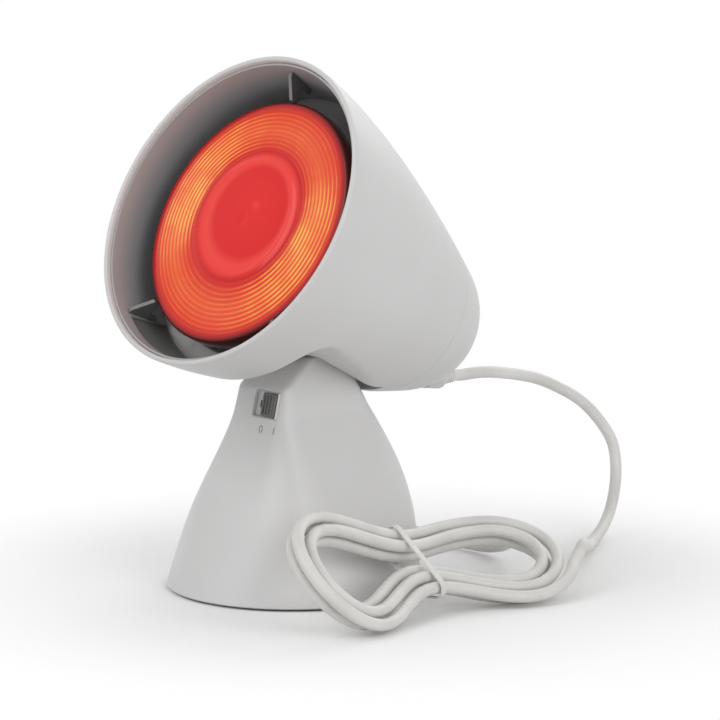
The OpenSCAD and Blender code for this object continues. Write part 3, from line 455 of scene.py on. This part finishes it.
def drawn_in(z, end, power, ease):
    """Half size of the foot at a height, from the foot's radius to its end at the neck. It
    goes with a power of the height, eased off near the neck by a fourth power."""
    rise = np.clip((z - pad_t) / (neck_z - pad_t), 0, 1)
    return foot_r - (foot_r - end) * ((1 + ease) * rise ** power - ease * rise ** 4)


def foot_front(z):
    """Distance of the foot's front from its middle, below the neck."""
    return drawn_in(z, front_end, 1.05, 0.2)


def foot_half(z):
    """Half the foot's width below the neck."""
    return drawn_in(z, half_end, 1.45, 0.25)


def foot_rows(z, inset, columns=208):
    """Rings round the foot at heights z. Each ring is a superellipse. The neck goes on in
    straight lines, in front to a shoulder, and closes along a circle about the hinge. Its
    sides lean in evenly. All half sizes are less by the inset."""
    rise = np.clip((z - pad_t) / (neck_z - pad_t), 0, 1)
    above = np.clip(z - neck_z, 0, None)
    top_r = neck_r - inset
    arch = np.sqrt(np.clip(top_r ** 2 - (z - hinge[2]) ** 2, 0, None))
    crest = shoulder_z - inset / 2
    reach, lift = shoulder_front + hinge[1] - inset, crest - hinge[2]
    turn = math.acos(top_r / math.hypot(reach, lift)) + math.atan(lift / reach)
    in_front = np.interp(z, [neck_z, crest, hinge[2] + top_r * math.sin(turn)],
        [front_end - inset, shoulder_front - inset, top_r * math.cos(turn) - hinge[1]])
    in_front = np.where(z < hinge[2] + top_r * math.sin(turn), in_front, arch - hinge[1])
    behind = np.where(z < hinge[2] + top_r * math.sin(rear_lean),
        rear_run - inset - above * math.tan(rear_lean), arch) + hinge[1]
    middle = hinge[1] * eased(above / 12)
    front = np.where(z <= neck_z, foot_front(z) - inset, in_front + middle)
    rear = np.where(z <= neck_z, drawn_in(z, rear_end, 2.1, 0) - inset, behind - middle)
    rounding = np.clip((z - (hinge[2] + top_r - crown)) / crown, 0, 1)
    leaning = half_end - (half_end - top_half) * above / (hinge[2] + neck_r - neck_z)
    half = np.where(z <= neck_z, foot_half(z), leaning) - inset
    half = half - crown * (1 - np.sqrt(np.clip(1 - rounding ** 2, 0, 1)))
    power = 2 / (2 + 4 * rise ** 2 + 3 * eased(above / 20))[:, None]
    a = (np.arange(columns) + 0.5) / columns * 2 * np.pi
    x = half[:, None] * np.sign(np.cos(a)) * abs(np.cos(a)) ** power
    y = np.where(np.sin(a) < 0, front[:, None], rear[:, None]) \
        * np.sign(np.sin(a)) * abs(np.sin(a)) ** power
    return np.stack([x, middle[:, None] + y, np.broadcast_to(z[:, None], x.shape)], -1)


def to_the_top(low, inset, rows):
    """Heights from low to the neck's top: even up to the round top, then even in angle."""
    top_r = neck_r - inset
    a = np.linspace(rear_lean, np.pi / 2, 30)
    straight = np.linspace(low, hinge[2] + top_r * math.sin(rear_lean), rows)[:-1]
    return np.concatenate([straight, hinge[2] + top_r * np.sin(a)])


outside = foot_rows(np.concatenate([[pad_t + 0.01], to_the_top(pad_t + 0.6, 0.0, 84)]), 0.0)
outside[0] *= (1 - 0.6 / foot_r, 1 - 0.6 / foot_r, 1)
inside = foot_rows(to_the_top(pad_t + 0.01, 2.4, 40), 2.4)[::-1]
foot_grid = capped(np.concatenate([inside, outside]))


def rounded_block(low, high, radius, count=9):
    """Points of a block between two corners with round edges: a sphere's points moved out to
    the block's eight inner corners."""
    low, high = np.array(low, float), np.array(high, float)
    half = (high - low) / 2 - radius
    v = np.concatenate([np.linspace(-np.pi / 2, -1e-6, count),
        np.linspace(1e-6, np.pi / 2, count)])
    u = np.concatenate([np.linspace(q + 1e-6, q + np.pi / 2 - 1e-6, count)
        for q in (0, np.pi / 2, np.pi, 3 * np.pi / 2)])
    v, u = np.meshgrid(v, u, indexing="ij")
    n = np.stack([np.cos(v) * np.cos(u), np.cos(v) * np.sin(u), np.sin(v)], -1)
    return (low + high) / 2 + np.sign(n) * half + radius * n


switch_x, switch_z = 6.0, 91.0
face_y = (switch_z - neck_z) * math.tan(front_lean) - front_end


def in_face(points):
    """Place in the room of points in the switch's frame: across, into the neck, and up along
    its leaning front."""
    c, s = math.cos(front_lean), math.sin(front_lean)
    return np.stack([switch_x + points[..., 0], face_y + points[..., 1] * c + points[..., 2] * s,
        switch_z - points[..., 1] * s + points[..., 2] * c], -1)


def block_of(low, high, radius, name, place=lambda p: p):
    """A closed block with round edges as a loose piece, carried to its place."""
    return woven(name, place(capped(rounded_block(low, high, radius))))


def cut(name, body, *cutters):
    """The body less its cutters, as a new mesh piece. The old ones are taken away."""
    for cutter in cutters:
        knife = body.modifiers.new("cut", "BOOLEAN")
        knife.object, knife.operation, knife.solver = cutter, "DIFFERENCE", "EXACT"
    bpy.context.view_layer.update()
    mesh = bpy.data.meshes.new_from_object(
        body.evaluated_get(bpy.context.evaluated_depsgraph_get()))
    mesh.name = name
    for old in (body, *cutters):
        bpy.data.objects.remove(old)
    return finished(name, mesh, 40)


def prism(name, outline, half, place=lambda p: p):
    """A flat outline of (y, z) points carried across x from -half to half."""
    outline = np.array(outline, float)
    ends = [np.column_stack([np.full(len(outline), x), outline]) for x in (-half, half)]
    return woven(name, place(capped(np.array(ends))))


lug_way = [(math.cos(math.radians(a)), math.sin(math.radians(a))) for a in (-14, 72)]
slot_outline = hinge[1:] + 2 * neck_r * np.array([(0, 0), lug_way[0], (1, 0.7), lug_way[1]])
foot = cut("foot_moulding", woven("foot_rough", foot_grid),
    block_of((-8.5, -5, -6.5), (8.5, 5, 6.5), 0.6, "switch_cut", in_face),
    prism("lug_cut", slot_outline, 5.3))

plastic = Finish("white_plastic", Roughness=0.38, IOR=1.5)
patch = plastic.place.grain(9, 3)
# Where the head's 'inside' attribute is 1 the white turns near black (0.16): painted shade on the
# head's inner wall.
painted_shade_fac = plastic.place.node("Attribute", {"attribute_name": "inside"}, out="Fac")
speck = plastic.place.grain(3200, 2)
plastic.feed(Base_Color=painted_shade_fac.tint(
    patch.between(0.25, 0.75).tint((0.600, 0.594, 0.590), (0.636, 0.630, 0.628)),
    (0.16, 0.157, 0.154)),
    Roughness=0.33 + 0.10 * plastic.place.grain(60, 3) + 0.05 * speck)
plastic.relief(0.000012 * speck + 0.00008 * plastic.place.grain(24, 1))
plastic.dress(foot)
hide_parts("foot_shell")
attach(foot, "foot")

# ---------- Floor plate, pad, weight and screws ----------
# A moulded plate closes the foot, a rubber pad grips the table, and a cast iron disc keeps
# the lamp from tipping. Four zinc plated screws hold the plate from below.
plate = Finish("floor_plate_plastic", Roughness=0.5)
plate.feed(Base_Color=plate.place.grain(14, 3).tint((0.56, 0.555, 0.55), (0.61, 0.605, 0.60)),
    Roughness=0.42 + 0.16 * plate.place.grain(420, 2))
plate.relief(0.00003 * plate.place.grain(1400, 2))
plate.dress("floor_plate")
rubber = Finish("pad_rubber", Roughness=0.8)
rubber.feed(
    Base_Color=rubber.place.grain(60, 4).tint((0.018, 0.018, 0.019), (0.045, 0.044, 0.043)),
    Roughness=0.72 + 0.2 * rubber.place.grain(500, 2))
ribbing = rubber.place.node("TexWave", {"wave_type": "RINGS", "rings_direction": "Z"},
    {"Vector": rubber.place, "Scale": 90.0, "Distortion": 0.0}, out=1)
rubber.relief(0.0004 * ribbing + 0.0001 * rubber.place.grain(900, 2))
rubber.dress("rubber_pad")
iron = Finish("cast_iron", Metallic=0.85, Roughness=0.7)
iron.feed(Base_Color=iron.place.grain(120, 5).tint((0.05, 0.05, 0.052), (0.14, 0.135, 0.13)),
    Roughness=0.6 + 0.25 * iron.place.grain(300, 3))
iron.relief(0.0005 * iron.place.grain(380, 5))
iron.dress("foot_weight")
steel = Finish("zinc_steel", Metallic=1.0, Roughness=0.32)
streak = steel.place.node("Mapping", {}, {"Vector": steel.place, "Scale": (60, 900, 900)})
steel.feed(Base_Color=steel.place.grain(160, 4).tint((0.44, 0.45, 0.47), (0.62, 0.62, 0.61)),
    Roughness=0.24 + 0.22 * streak.grain(1.0, 3))
steel.relief(0.00003 * streak.grain(1.0, 3))
steel.dress("floor_screws", "frame_screws", "hinge_frame", "hinge_pin", "hinge_lug",
    "lug_screws", "cap_screws", "holder_bracket", "holder_screws", "bulb_filament")
brass = Finish("brass", Metallic=1.0, Roughness=0.3)
brass.feed(Base_Color=brass.place.grain(130, 4).tint((0.55, 0.38, 0.15), (0.74, 0.56, 0.27)),
    Roughness=0.2 + 0.25 * brass.place.grain(420, 3))
brass.relief(0.00004 * brass.place.grain(700, 3))
brass.dress("friction_washers", "switch_terminals", "bulb_cap", "bulb_contact",
    "holder_sleeve", "holder_contact", "terminal_screws")

# ---------- Switch ----------
# A slide switch in the front of the neck: a thin white surround, a black housing behind it,
# and a dark knob with four ribs that slides across. Plain 0 and I marks stand below it.
def rounded_frame(half_wide, half_high, radius, count=96):
    """Points round a rectangle with round corners, evenly by angle in each corner."""
    a = (np.arange(count) + 0.5) / count * 2 * np.pi
    return np.stack([np.sign(np.cos(a)) * (half_wide - radius) + radius * np.cos(a),
        np.sign(np.sin(a)) * (half_high - radius) + radius * np.sin(a)], -1)


rings = [(8.35, 6.35, 0.6, 2.4), (8.35, 6.35, 0.6, -0.25), (8.2, 6.2, 0.5, -0.5),
    (7.95, 6.0, 0.4, -0.5), (7.8, 5.9, 0.3, -0.3), (7.8, 5.9, 0.3, 2.4)]
surround = []
for half_wide, half_high, radius, deep in rings:
    ring = rounded_frame(half_wide, half_high, radius)
    surround.append(in_face(np.stack([ring[:, 0], np.full(len(ring), deep), ring[:, 1]], -1)))
bezel = woven("switch_surround", np.array(surround), rows_close=True, keep_edges=30)
sill = cut("sill", block_of((-7.75, 1.5, -5.85), (7.75, 2.3, 5.85), 0.2, "sill_rough", in_face),
    block_of((-5.3, 1, -1.8), (5.3, 3, 1.8), 0.3, "sill_cut", in_face))
with bpy.context.temp_override(active_object=bezel, selected_editable_objects=[bezel, sill]):
    bpy.ops.object.join()
plastic.dress(bezel)
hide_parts("switch_bezel")
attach(bezel, "foot")

black = Finish("dark_plastic", Roughness=0.5)
black.feed(Base_Color=black.place.grain(90, 3).tint((0.022, 0.022, 0.024), (0.05, 0.049, 0.05)),
    Roughness=0.42 + 0.2 * black.place.grain(800, 2))
black.relief(0.00004 * black.place.grain(1500, 2))
black.dress("switch_body")
knob_x = 3.0
parts = [block_of((knob_x - 4.5, -1.4, -5.6), (knob_x + 4.5, 1.2, 5.6), 0.5, "k0", in_face),
    block_of((knob_x - 2, 0, -1.5), (knob_x + 2, 4.7, 1.5), 0.3, "k5", in_face)]
parts += [block_of((knob_x + x - 0.4, -2, -4.6), (knob_x + x + 0.4, -0.8, 4.6), 0.3, "k", in_face)
    for x in (-3, -1, 1, 3)]
with bpy.context.temp_override(active_object=parts[0], selected_editable_objects=parts):
    bpy.ops.object.join()
knob = parts[0]
knob.name = knob.data.name = "slide_knob"
knob_plastic = Finish("knob_plastic", Roughness=0.45)
knob_plastic.feed(
    Base_Color=knob_plastic.place.grain(120, 3).tint((0.10, 0.098, 0.095), (0.15, 0.147, 0.144)),
    Roughness=0.36 + 0.2 * knob_plastic.place.grain(900, 2))
knob_plastic.relief(0.00004 * knob_plastic.place.grain(1600, 2))
knob_plastic.dress(knob)
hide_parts("switch_knob")
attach(knob, "knob")


def on_foot_front(x, z, proud):
    """Places on the front of the foot at a width and height, moved out by a little."""
    rise = np.clip((z - pad_t) / (neck_z - pad_t), 0, 1)
    power = 2 + 4 * rise ** 2
    y = foot_front(z) * (1 - np.clip(abs(x) / foot_half(z), 0, 1) ** power) ** (1 / power)
    return np.stack([x, -y - proud, z + 0.6 * proud], -1)


a = np.linspace(0, 2 * np.pi, 64, endpoint=False)
nought = np.array([on_foot_front(5.5 + w * np.sin(a), 79.6 + h * np.cos(a), proud)
    for w, h, proud in ((1.25, 1.7, 0.1), (1.25, 1.7, -0.2), (0.85, 1.3, -0.2), (0.85, 1.3, 0.1))])
bar_x = np.array([-0.22, 0.22, 0.22, -0.22]) + 14.0
bar_z = np.array([78.0, 78.0, 81.2, 81.2])
stroke = np.array([on_foot_front(bar_x, bar_z, proud) for proud in (-0.2, 0.1)])
marks = [woven("mark_0", nought, rows_close=True), woven("mark_I", capped(stroke))]
print_grey = Finish("mark_print", Roughness=0.5)
print_grey.feed(Base_Color=print_grey.place.grain(400, 2).tint((0.20, 0.20, 0.20),
    (0.28, 0.28, 0.28)), Roughness=0.42 + 0.1 * print_grey.place.grain(900, 2))
for mark in marks:
    print_grey.dress(mark)
    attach(mark, "foot")

# ---------- Head shell ----------
# The bell shaped head, moulded in the same white plastic. A flat with a rounded front wall is
# pressed in its underside over the neck, and a slot in the flat takes the neck's round top.
rim_r, cone_r, cone_l, dome_l, wall, bell_power = 78.0, 36.0, 142.0, 26.0, 2.5, 1.4
bell_slope = bell_power * (rim_r - cone_r) / cone_l
dome_share = dome_l * bell_slope / cone_r
dome_turn = math.asin(dome_share / (1 - dome_share))
dome_a, dome_b = cone_r / math.cos(dome_turn), dome_l / (1 - math.sin(dome_turn))
dome_mid = cone_l + dome_l - dome_b


def bell_radius(s):
    """Radius of the head at a distance behind its rim: a power curve for the bell, closed by
    an ellipse that takes up its slope."""
    return np.where(s < cone_l,
        rim_r - (rim_r - cone_r) * (np.clip(s, 0, None) / cone_l) ** bell_power,
        dome_a * np.sqrt(np.clip(1 - ((s - dome_mid) / dome_b) ** 2, 0, 1)))


def bowl_radius(s):
    """Radius of the bulb's bowl, a paraboloid with its tip 103 behind the rim."""
    return np.minimum(60.5, np.sqrt(48 * np.clip(103 - s, 0, None)))


def softly_less(a, b, k):
    """The less of two values, with a rounded change from one to the other."""
    share = np.clip(0.5 + 0.5 * (b - a) / k, 0, 1)
    return b + (a - b) * share - k * share * (1 - share)


def pressed(x, h, s, inner):
    """Depth h of the bell's skin where the underside is pressed in. The flat is a plane with
    a round corner to its front wall, less the guard round the bowl; the slot is a circle
    about the hinge that runs on to the back, and the lug's arm has a deeper cut in it."""
    corner, start, level = 17 + inner, 34 - inner, 45 - inner
    d = np.clip(s - start, 0, corner)
    flat = level + corner - np.sqrt(np.clip(corner ** 2 - (corner - d) ** 2, 0, None))
    flat = flat + 22 * np.clip(start - s, 0, None)
    guard = np.where((s > 23 - inner) & (s < 76.5 + inner), bowl_radius(s) + 5 - inner, 0)
    flat = np.maximum(flat, np.sqrt(np.clip(guard ** 2 - x ** 2, 0, None)))
    slot_r = neck_r + 1.2 + inner
    round_top = hinge_drop - np.sqrt(np.clip(slot_r ** 2
        - np.clip(hinge_back - s, 0, slot_r) ** 2, 0, None))
    slot = round_top + 40 * eased((s - (115.8 + inner)) / 0.7) \
        + 60 * eased((hinge_back - slot_r - s) / 0.5)
    side = eased((abs(x) - (19.1 + inner)) / 0.5)
    limit = side * flat + (1 - side) * np.minimum(flat, slot)
    arm = (1 - eased((abs(x) - 4.65) / 0.3)) * eased((s - 97.6) / 0.5) \
        * (1 - eased((s - 114.5) / 0.5))
    return softly_less(h, limit - 4.0 * arm, 2.6)


def bell_grid(s, radius, inner):
    """Rows of skin at distances s behind the rim, each with columns at fixed widths over the
    slot and then even in angle to the top."""
    fixed = np.array([0, 1.5, 3, 4, 4.6, 4.7, 4.8, 4.9, 5, 7, 9.5, 12, 14.5, 16.8, 18.4, 19.1,
        19.22, 19.35, 19.48, 19.6, 20, 20.8, 22])
    a = np.arcsin(fixed[None] / radius[:, None])
    even = np.linspace(0, 1, 68)[None, 1:]
    lower = a[:, -1:] + (np.pi / 2 - a[:, -1:]) * even
    upper = np.pi / 2 + np.linspace(0, np.pi / 2, 56)[None, 1:] + 0 * a[:, :1]
    a = np.concatenate([a, lower, upper], 1)
    a = np.concatenate([a, -a[:, -2:0:-1]], 1)
    x, h = radius[:, None] * np.sin(a), radius[:, None] * np.cos(a)
    return in_head(x, pressed(x, h, s[:, None], inner), s[:, None] + 0 * x)


stations = np.unique(np.round(np.concatenate([[1.25, 2, 3.5, 6], np.arange(9, 31, 3.5),
    np.arange(30, 33, 0.8), np.arange(33, 35.4, 0.15), np.arange(35.5, 44, 0.6),
    np.arange(44, 62, 1.2), np.arange(62, 66, 0.5), np.arange(66, 97, 1.1),
    np.arange(97.4, 98.4, 0.17), np.arange(99, 114, 1.2), np.arange(114.4, 115.2, 0.17),
    np.arange(115.4, 117, 0.17), np.arange(117.5, 124, 0.7), [125, 126, 127, 127.6, 128]]), 3))
lip = np.linspace(0, np.pi, 9)[1:-1]
outer = bell_grid(stations[::-1], bell_radius(stations[::-1]), 0)
edge = bell_grid(1.25 - 1.25 * np.sin(lip), bell_radius(1.25) - 1.25 + 1.25 * np.cos(lip), 0)
hidden = stations[::2]
inner = bell_grid(hidden, bell_radius(hidden) - wall, 2)
head = woven("head_moulding", np.concatenate([outer, edge, inner]), rows_close=True,
    keep_edges=48)
points = np.empty(len(head.data.vertices) * 3)
head.data.vertices.foreach_get("co", points)
points = points.reshape(-1, 3) * 1000 - hinge
behind = hinge_back + points[:, 1] * math.cos(tilt) - points[:, 2] * math.sin(tilt)
under = hinge_drop - points[:, 1] * math.sin(tilt) - points[:, 2] * math.cos(tilt)
depth_in = bell_radius(behind) - np.hypot(points[:, 0], under)
# Painted shade: the head's inner wall from 5 to 32 mm behind the rim, seen through the liner's open
# bottom, is marked to be coloured near black.
painted_shade = eased((depth_in - 0.9) / 1.2) * eased((behind - 5) / 4) * (behind < 32)
head.data.attributes.new("inside", "FLOAT", "POINT").data.foreach_set("value", painted_shade)
plastic.dress(head)
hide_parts("head_shell")
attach(head, "head")


# ---------- Rear cap and cord relief ----------
# The round back is a second moulding that plugs in the head behind a fine seam. It has five
# air slots, two deep screw holes and a collar, from which the lead's ribbed relief stands.
def turned(profile, sides=192, place=in_head):
    """A profile of (radius, distance behind the rim) turned about the head's axis."""
    r, s = np.array(profile, float).T
    a = np.linspace(0, 2 * np.pi, sides, endpoint=False)
    return place(r[:, None] * np.sin(a), r[:, None] * np.cos(a), s[:, None] + 0 * a)


def in_gland(x, h, s):
    """Points of a shape turned about the cord outlet's axis, carried to the head's back."""
    c, n = math.cos(gland_turn), math.sin(gland_turn)
    return in_head(x, gland_down + h * c - s * n, gland_behind + h * n + s * c)


bell_s = np.concatenate([[128.3, 128.5], np.linspace(130, cone_l, 10)[:-1]])
dome_t = np.linspace(dome_turn, np.pi / 2, 34)
cap_out = [(bell_radius(128.3) - 0.15, 128.3), *zip(bell_radius(bell_s[1:]), bell_s[1:]),
    *zip(dome_a * np.cos(dome_t), dome_mid + dome_b * np.sin(dome_t))]
cap_in = [*zip((dome_a - wall) * np.cos(dome_t[::-1]),
    dome_mid + (dome_b - wall) * np.sin(dome_t[::-1])),
    (bell_radius(134) - wall, 134), (bell_radius(133) - 4.3, 133), (bell_radius(123) - 4.3, 123),
    (bell_radius(123) - 2.7, 123), (bell_radius(128.3) - 2.7, 128.3)]
cap_rough = woven("cap_rough", turned(cap_out + cap_in), rows_close=True)
cutters = [woven("slot_%d" % i, in_head(*np.moveaxis(
    capped(rounded_block((x - 1.3, -14, 148), (x + 1.3, 6, 172), 1.25)), -1, 0)))
    for i, x in enumerate((-14, -7, 0, 7, 14))]
a = np.linspace(0, 2 * np.pi, 40, endpoint=False)
for side in (-1, 1):
    for radius, start in ((3.3, 152.0), (1.6, 140.0)):
        ends = np.array([in_head(17 * side + radius * np.sin(a), -17 + radius * np.cos(a),
            s + 0 * a) for s in (start, 175.0)])
        cutters.append(woven("hole", capped(ends)))
bore = np.array([in_gland(4.7 * np.sin(a), 4.7 * np.cos(a), s + 0 * a) for s in (-20.0, 20.0)])
cutters.append(woven("bore", capped(bore)))
cap = cut("rear_cap_moulding", cap_rough, *cutters)
collar = turned([(4.7, -3), (7, -3), (7, 6.2), (6.77, 6.75), (6.2, 7), (5, 7), (4.7, 6.7)], 72,
    in_gland)
collar = woven("collar", collar, rows_close=True)
with bpy.context.temp_override(active_object=cap, selected_editable_objects=[cap, collar]):
    bpy.ops.object.join()
plastic.dress(cap)
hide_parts("rear_cap")
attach(cap, "head")

s = np.concatenate([[-8, -7.9], np.linspace(7.0, 16, 73)])
rib = 0.5 * (np.sin(2 * np.pi * (s - 7.1) / 1.9) > 0.2) * (s > 8) * (s < 15)
r = np.where(s < 7.1, 4.6, 5.4 + (3.7 - 5.4) * (s - 7.1) / 8.9) - rib
relief_piece = woven("cord_relief", capped(turned(list(zip(r, s)), 56, in_gland)), keep_edges=35)
vinyl.dress(relief_piece)
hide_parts("cord_gland")
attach(relief_piece, "head")

# ---------- Inner sleeve and clips ----------
# A thin grey liner just inside the rim, open over the lowest quarter of its back part, and
# three spring clips that hold the bulb's edge in it.
a = np.radians(np.concatenate([np.linspace(-39, 39, 60), np.linspace(39.3, 41.5, 16),
    np.linspace(43, 317, 190), np.linspace(318.5, 320.7, 16)]))
off_bottom = np.degrees(np.minimum(a % (2 * np.pi), 2 * np.pi - a % (2 * np.pi)))
back_edge = 9 + (30.5 - 9) * eased((off_bottom - 40.2) / 1.0)
down_share = np.concatenate([[0, 0.01], np.linspace(0.08, 1, 12)])
s = 2.5 + down_share[:, None] * (back_edge - 2.5)
sheet = [(s, bell_radius(s) - 2.8), (s[::-1], bell_radius(s[::-1]) - 3.8)]
s, r = (np.concatenate(q) for q in zip(*sheet))
liner = woven("inner_liner", in_head(r * np.sin(a), r * np.cos(a), s), rows_close=True)
grey = Finish("liner_grey", Roughness=0.42, IOR=1.48)
axis = np.array([0, math.cos(tilt), -math.sin(tilt)])
deep = grey.place.node("VectorMath", {"operation": "DOT_PRODUCT"},
    {0: grey.place, 1: tuple(axis)}, out=1)
rim_at = float(in_head(0.0, np.float64(0), np.float64(0)) @ axis) / 1000
# Painted shade: the liner's grey darkens from 0.46 at the rim to 0.20 about 27 mm deeper in, with a
# little random tone mixed into the same blend.
grey.feed(Base_Color=(deep.between(rim_at - 0.004, rim_at + 0.027)
        + 0.15 * grey.place.grain(18, 3)).tint((0.46, 0.455, 0.46), (0.20, 0.197, 0.20)),
    Roughness=0.34 + 0.14 * grey.place.grain(300, 3))
grey.relief(0.00003 * grey.place.grain(1300, 2))
grey.dress(liner)
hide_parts("inner_sleeve")
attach(liner, "head")
spring = Finish("spring_steel", Metallic=0.7, Roughness=0.45)
spring.feed(Base_Color=spring.place.grain(200, 3).tint((0.17, 0.17, 0.17), (0.25, 0.25, 0.245)),
    Roughness=0.36 + 0.2 * spring.place.grain(900, 3))
spring.dress("bulb_clips")

# ---------- Bulb ----------
# A pressed reflector bulb, lit: red glass face with a plain middle, fine ring ribs that each
# catch the filament's light, and a dark edge, sealed to a bowl that is silvered inside.
lens_r, recess = 61.0, 15.0
ribs_from, ribs_to, rib_pitch = 34.0, 57.0, 2.3
r = np.concatenate([np.linspace(0.0, ribs_from, 40), np.linspace(ribs_from, ribs_to, 161)[1:],
    [57.8, 58.6, 59.3]])
ripple = 0.42 * (0.5 - 0.5 * np.cos(2 * np.pi * (r - ribs_from) / rib_pitch))
ripple = np.where((r > ribs_from) & (r < ribs_to), ripple, 0)
bead = 0.5 * np.exp(-((r - 29.5) / 1.6) ** 2)
front = recess - 3 * (1 - (r / 59.3) ** 2) + ripple - bead + 0.4 * eased((4 - abs(r)) / 4)
a = np.linspace(0, np.pi / 2, 7)[1:]
profile = [*zip(r, front), *zip(59.3 + 1.7 * np.sin(a), recess + 1.7 - 1.7 * np.cos(a)),
    (lens_r, 22), (58.5, 22), (56, 17.5), (30, 15.2), (0, 14.6)]
lens = woven("bulb_lens", turned(profile, 240), keep_edges=60)
glow = Finish("red_glass", Roughness=0.12, IOR=1.5, Specular_IOR_Level=0.2,
    Emission_Strength=1.0)
face = in_head(0.0, np.float64(0.0), np.float64(recess)) / 1000
local = glow.place.node("Mapping", {"vector_type": "TEXTURE"},
    {"Vector": glow.place, "Location": tuple(face), "Rotation": (-tilt, 0, 0)})
local_x = local.node("SeparateXYZ", {}, {"Vector": local})
local_z = Wire(glow.tree, local_x.socket.node.outputs["Z"])
off_axis = ((local_x ** 2.0 + local_z ** 2.0) ** 0.5) * (1000 / lens_r)
pull = (1.0 - off_axis.between(-0.35, 1.0)) ** 1.5
local_x, local_z = local_x - 0.0085 * pull, local_z - 0.0125 * pull
far = ((local_x ** 2.0 + local_z ** 2.0) ** 0.5) * 1000
ring_colour = far.node("ValToRGB", {"stops": [
    (0.000, (0.80, 0.034, 0.028)), (0.060, (0.68, 0.014, 0.014)), (0.380, (0.64, 0.012, 0.012)),
    (0.440, (0.78, 0.050, 0.040)), (0.490, (0.76, 0.042, 0.034)), (0.540, (0.52, 0.008, 0.008)),
    (0.600, (0.64, 0.028, 0.014)), (0.740, (0.74, 0.085, 0.026)), (0.900, (0.68, 0.040, 0.018)),
    (0.955, (0.42, 0.012, 0.012)), (0.985, (0.06, 0.005, 0.005)), (1.000, (0.012, 0.004, 0.004))]},
    {"Fac": far / lens_r})
wave = (2 * math.pi / rib_pitch) * (far - ribs_from)
crest = (0.5 + 0.5 * wave.maths("COSINE", wave)) ** 2.0
zone = far.between(33, 38) * (1 - far.between(53, 58))
lean_in = (0.93 * local_x - 0.37 * local_z) / ((far / 1000) + 0.002)
side_glow = (lean_in * lean_in).between(0.15, 0.9)
spots = glow.place.grain(95, 2).between(0.38, 0.62)
shine = crest * zone * (0.16 + 0.84 * side_glow) * (0.60 + 0.40 * spots)
lit = shine.tint(ring_colour, (0.98, 0.52, 0.10))
glow.feed(Base_Color=(far / lens_r).tint((0.07, 0.006, 0.006), (0.03, 0.004, 0.004)),
    Emission_Color=lit, Roughness=0.08 + 0.12 * glow.place.grain(150, 2))
glow.dress(lens)
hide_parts("bulb_face")
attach(lens, "head")
mirror = Finish("mirrored_glass", Metallic=0.9, Roughness=0.14)
mirror.feed(Base_Color=mirror.place.grain(40, 3).tint((0.62, 0.62, 0.62), (0.76, 0.76, 0.75)),
    Roughness=0.08 + 0.16 * mirror.place.grain(120, 3))
mirror.dress("bulb_bowl")
dark_glass = Finish("dark_glass", Roughness=0.1)
dark_glass.feed(
    Base_Color=dark_glass.place.grain(150, 2).tint((0.010, 0.010, 0.014), (0.03, 0.03, 0.036)),
    Roughness=0.06 + 0.1 * dark_glass.place.grain(300, 2))
dark_glass.dress("bulb_insulator")

# ---------- Lamp holder and terminals ----------
# A glazed ceramic holder on a steel bracket, and a ceramic block where the lead is screwed
# down. Both are inside the head's back.
glaze = Finish("glazed_ceramic", Roughness=0.15)
glaze.feed(Base_Color=glaze.place.grain(70, 4).tint((0.72, 0.71, 0.66), (0.80, 0.79, 0.75)),
    Roughness=0.08 + 0.14 * glaze.place.grain(200, 3))
glaze.relief(0.0001 * glaze.place.grain(150, 2))
glaze.dress("lamp_holder", "terminal_block")
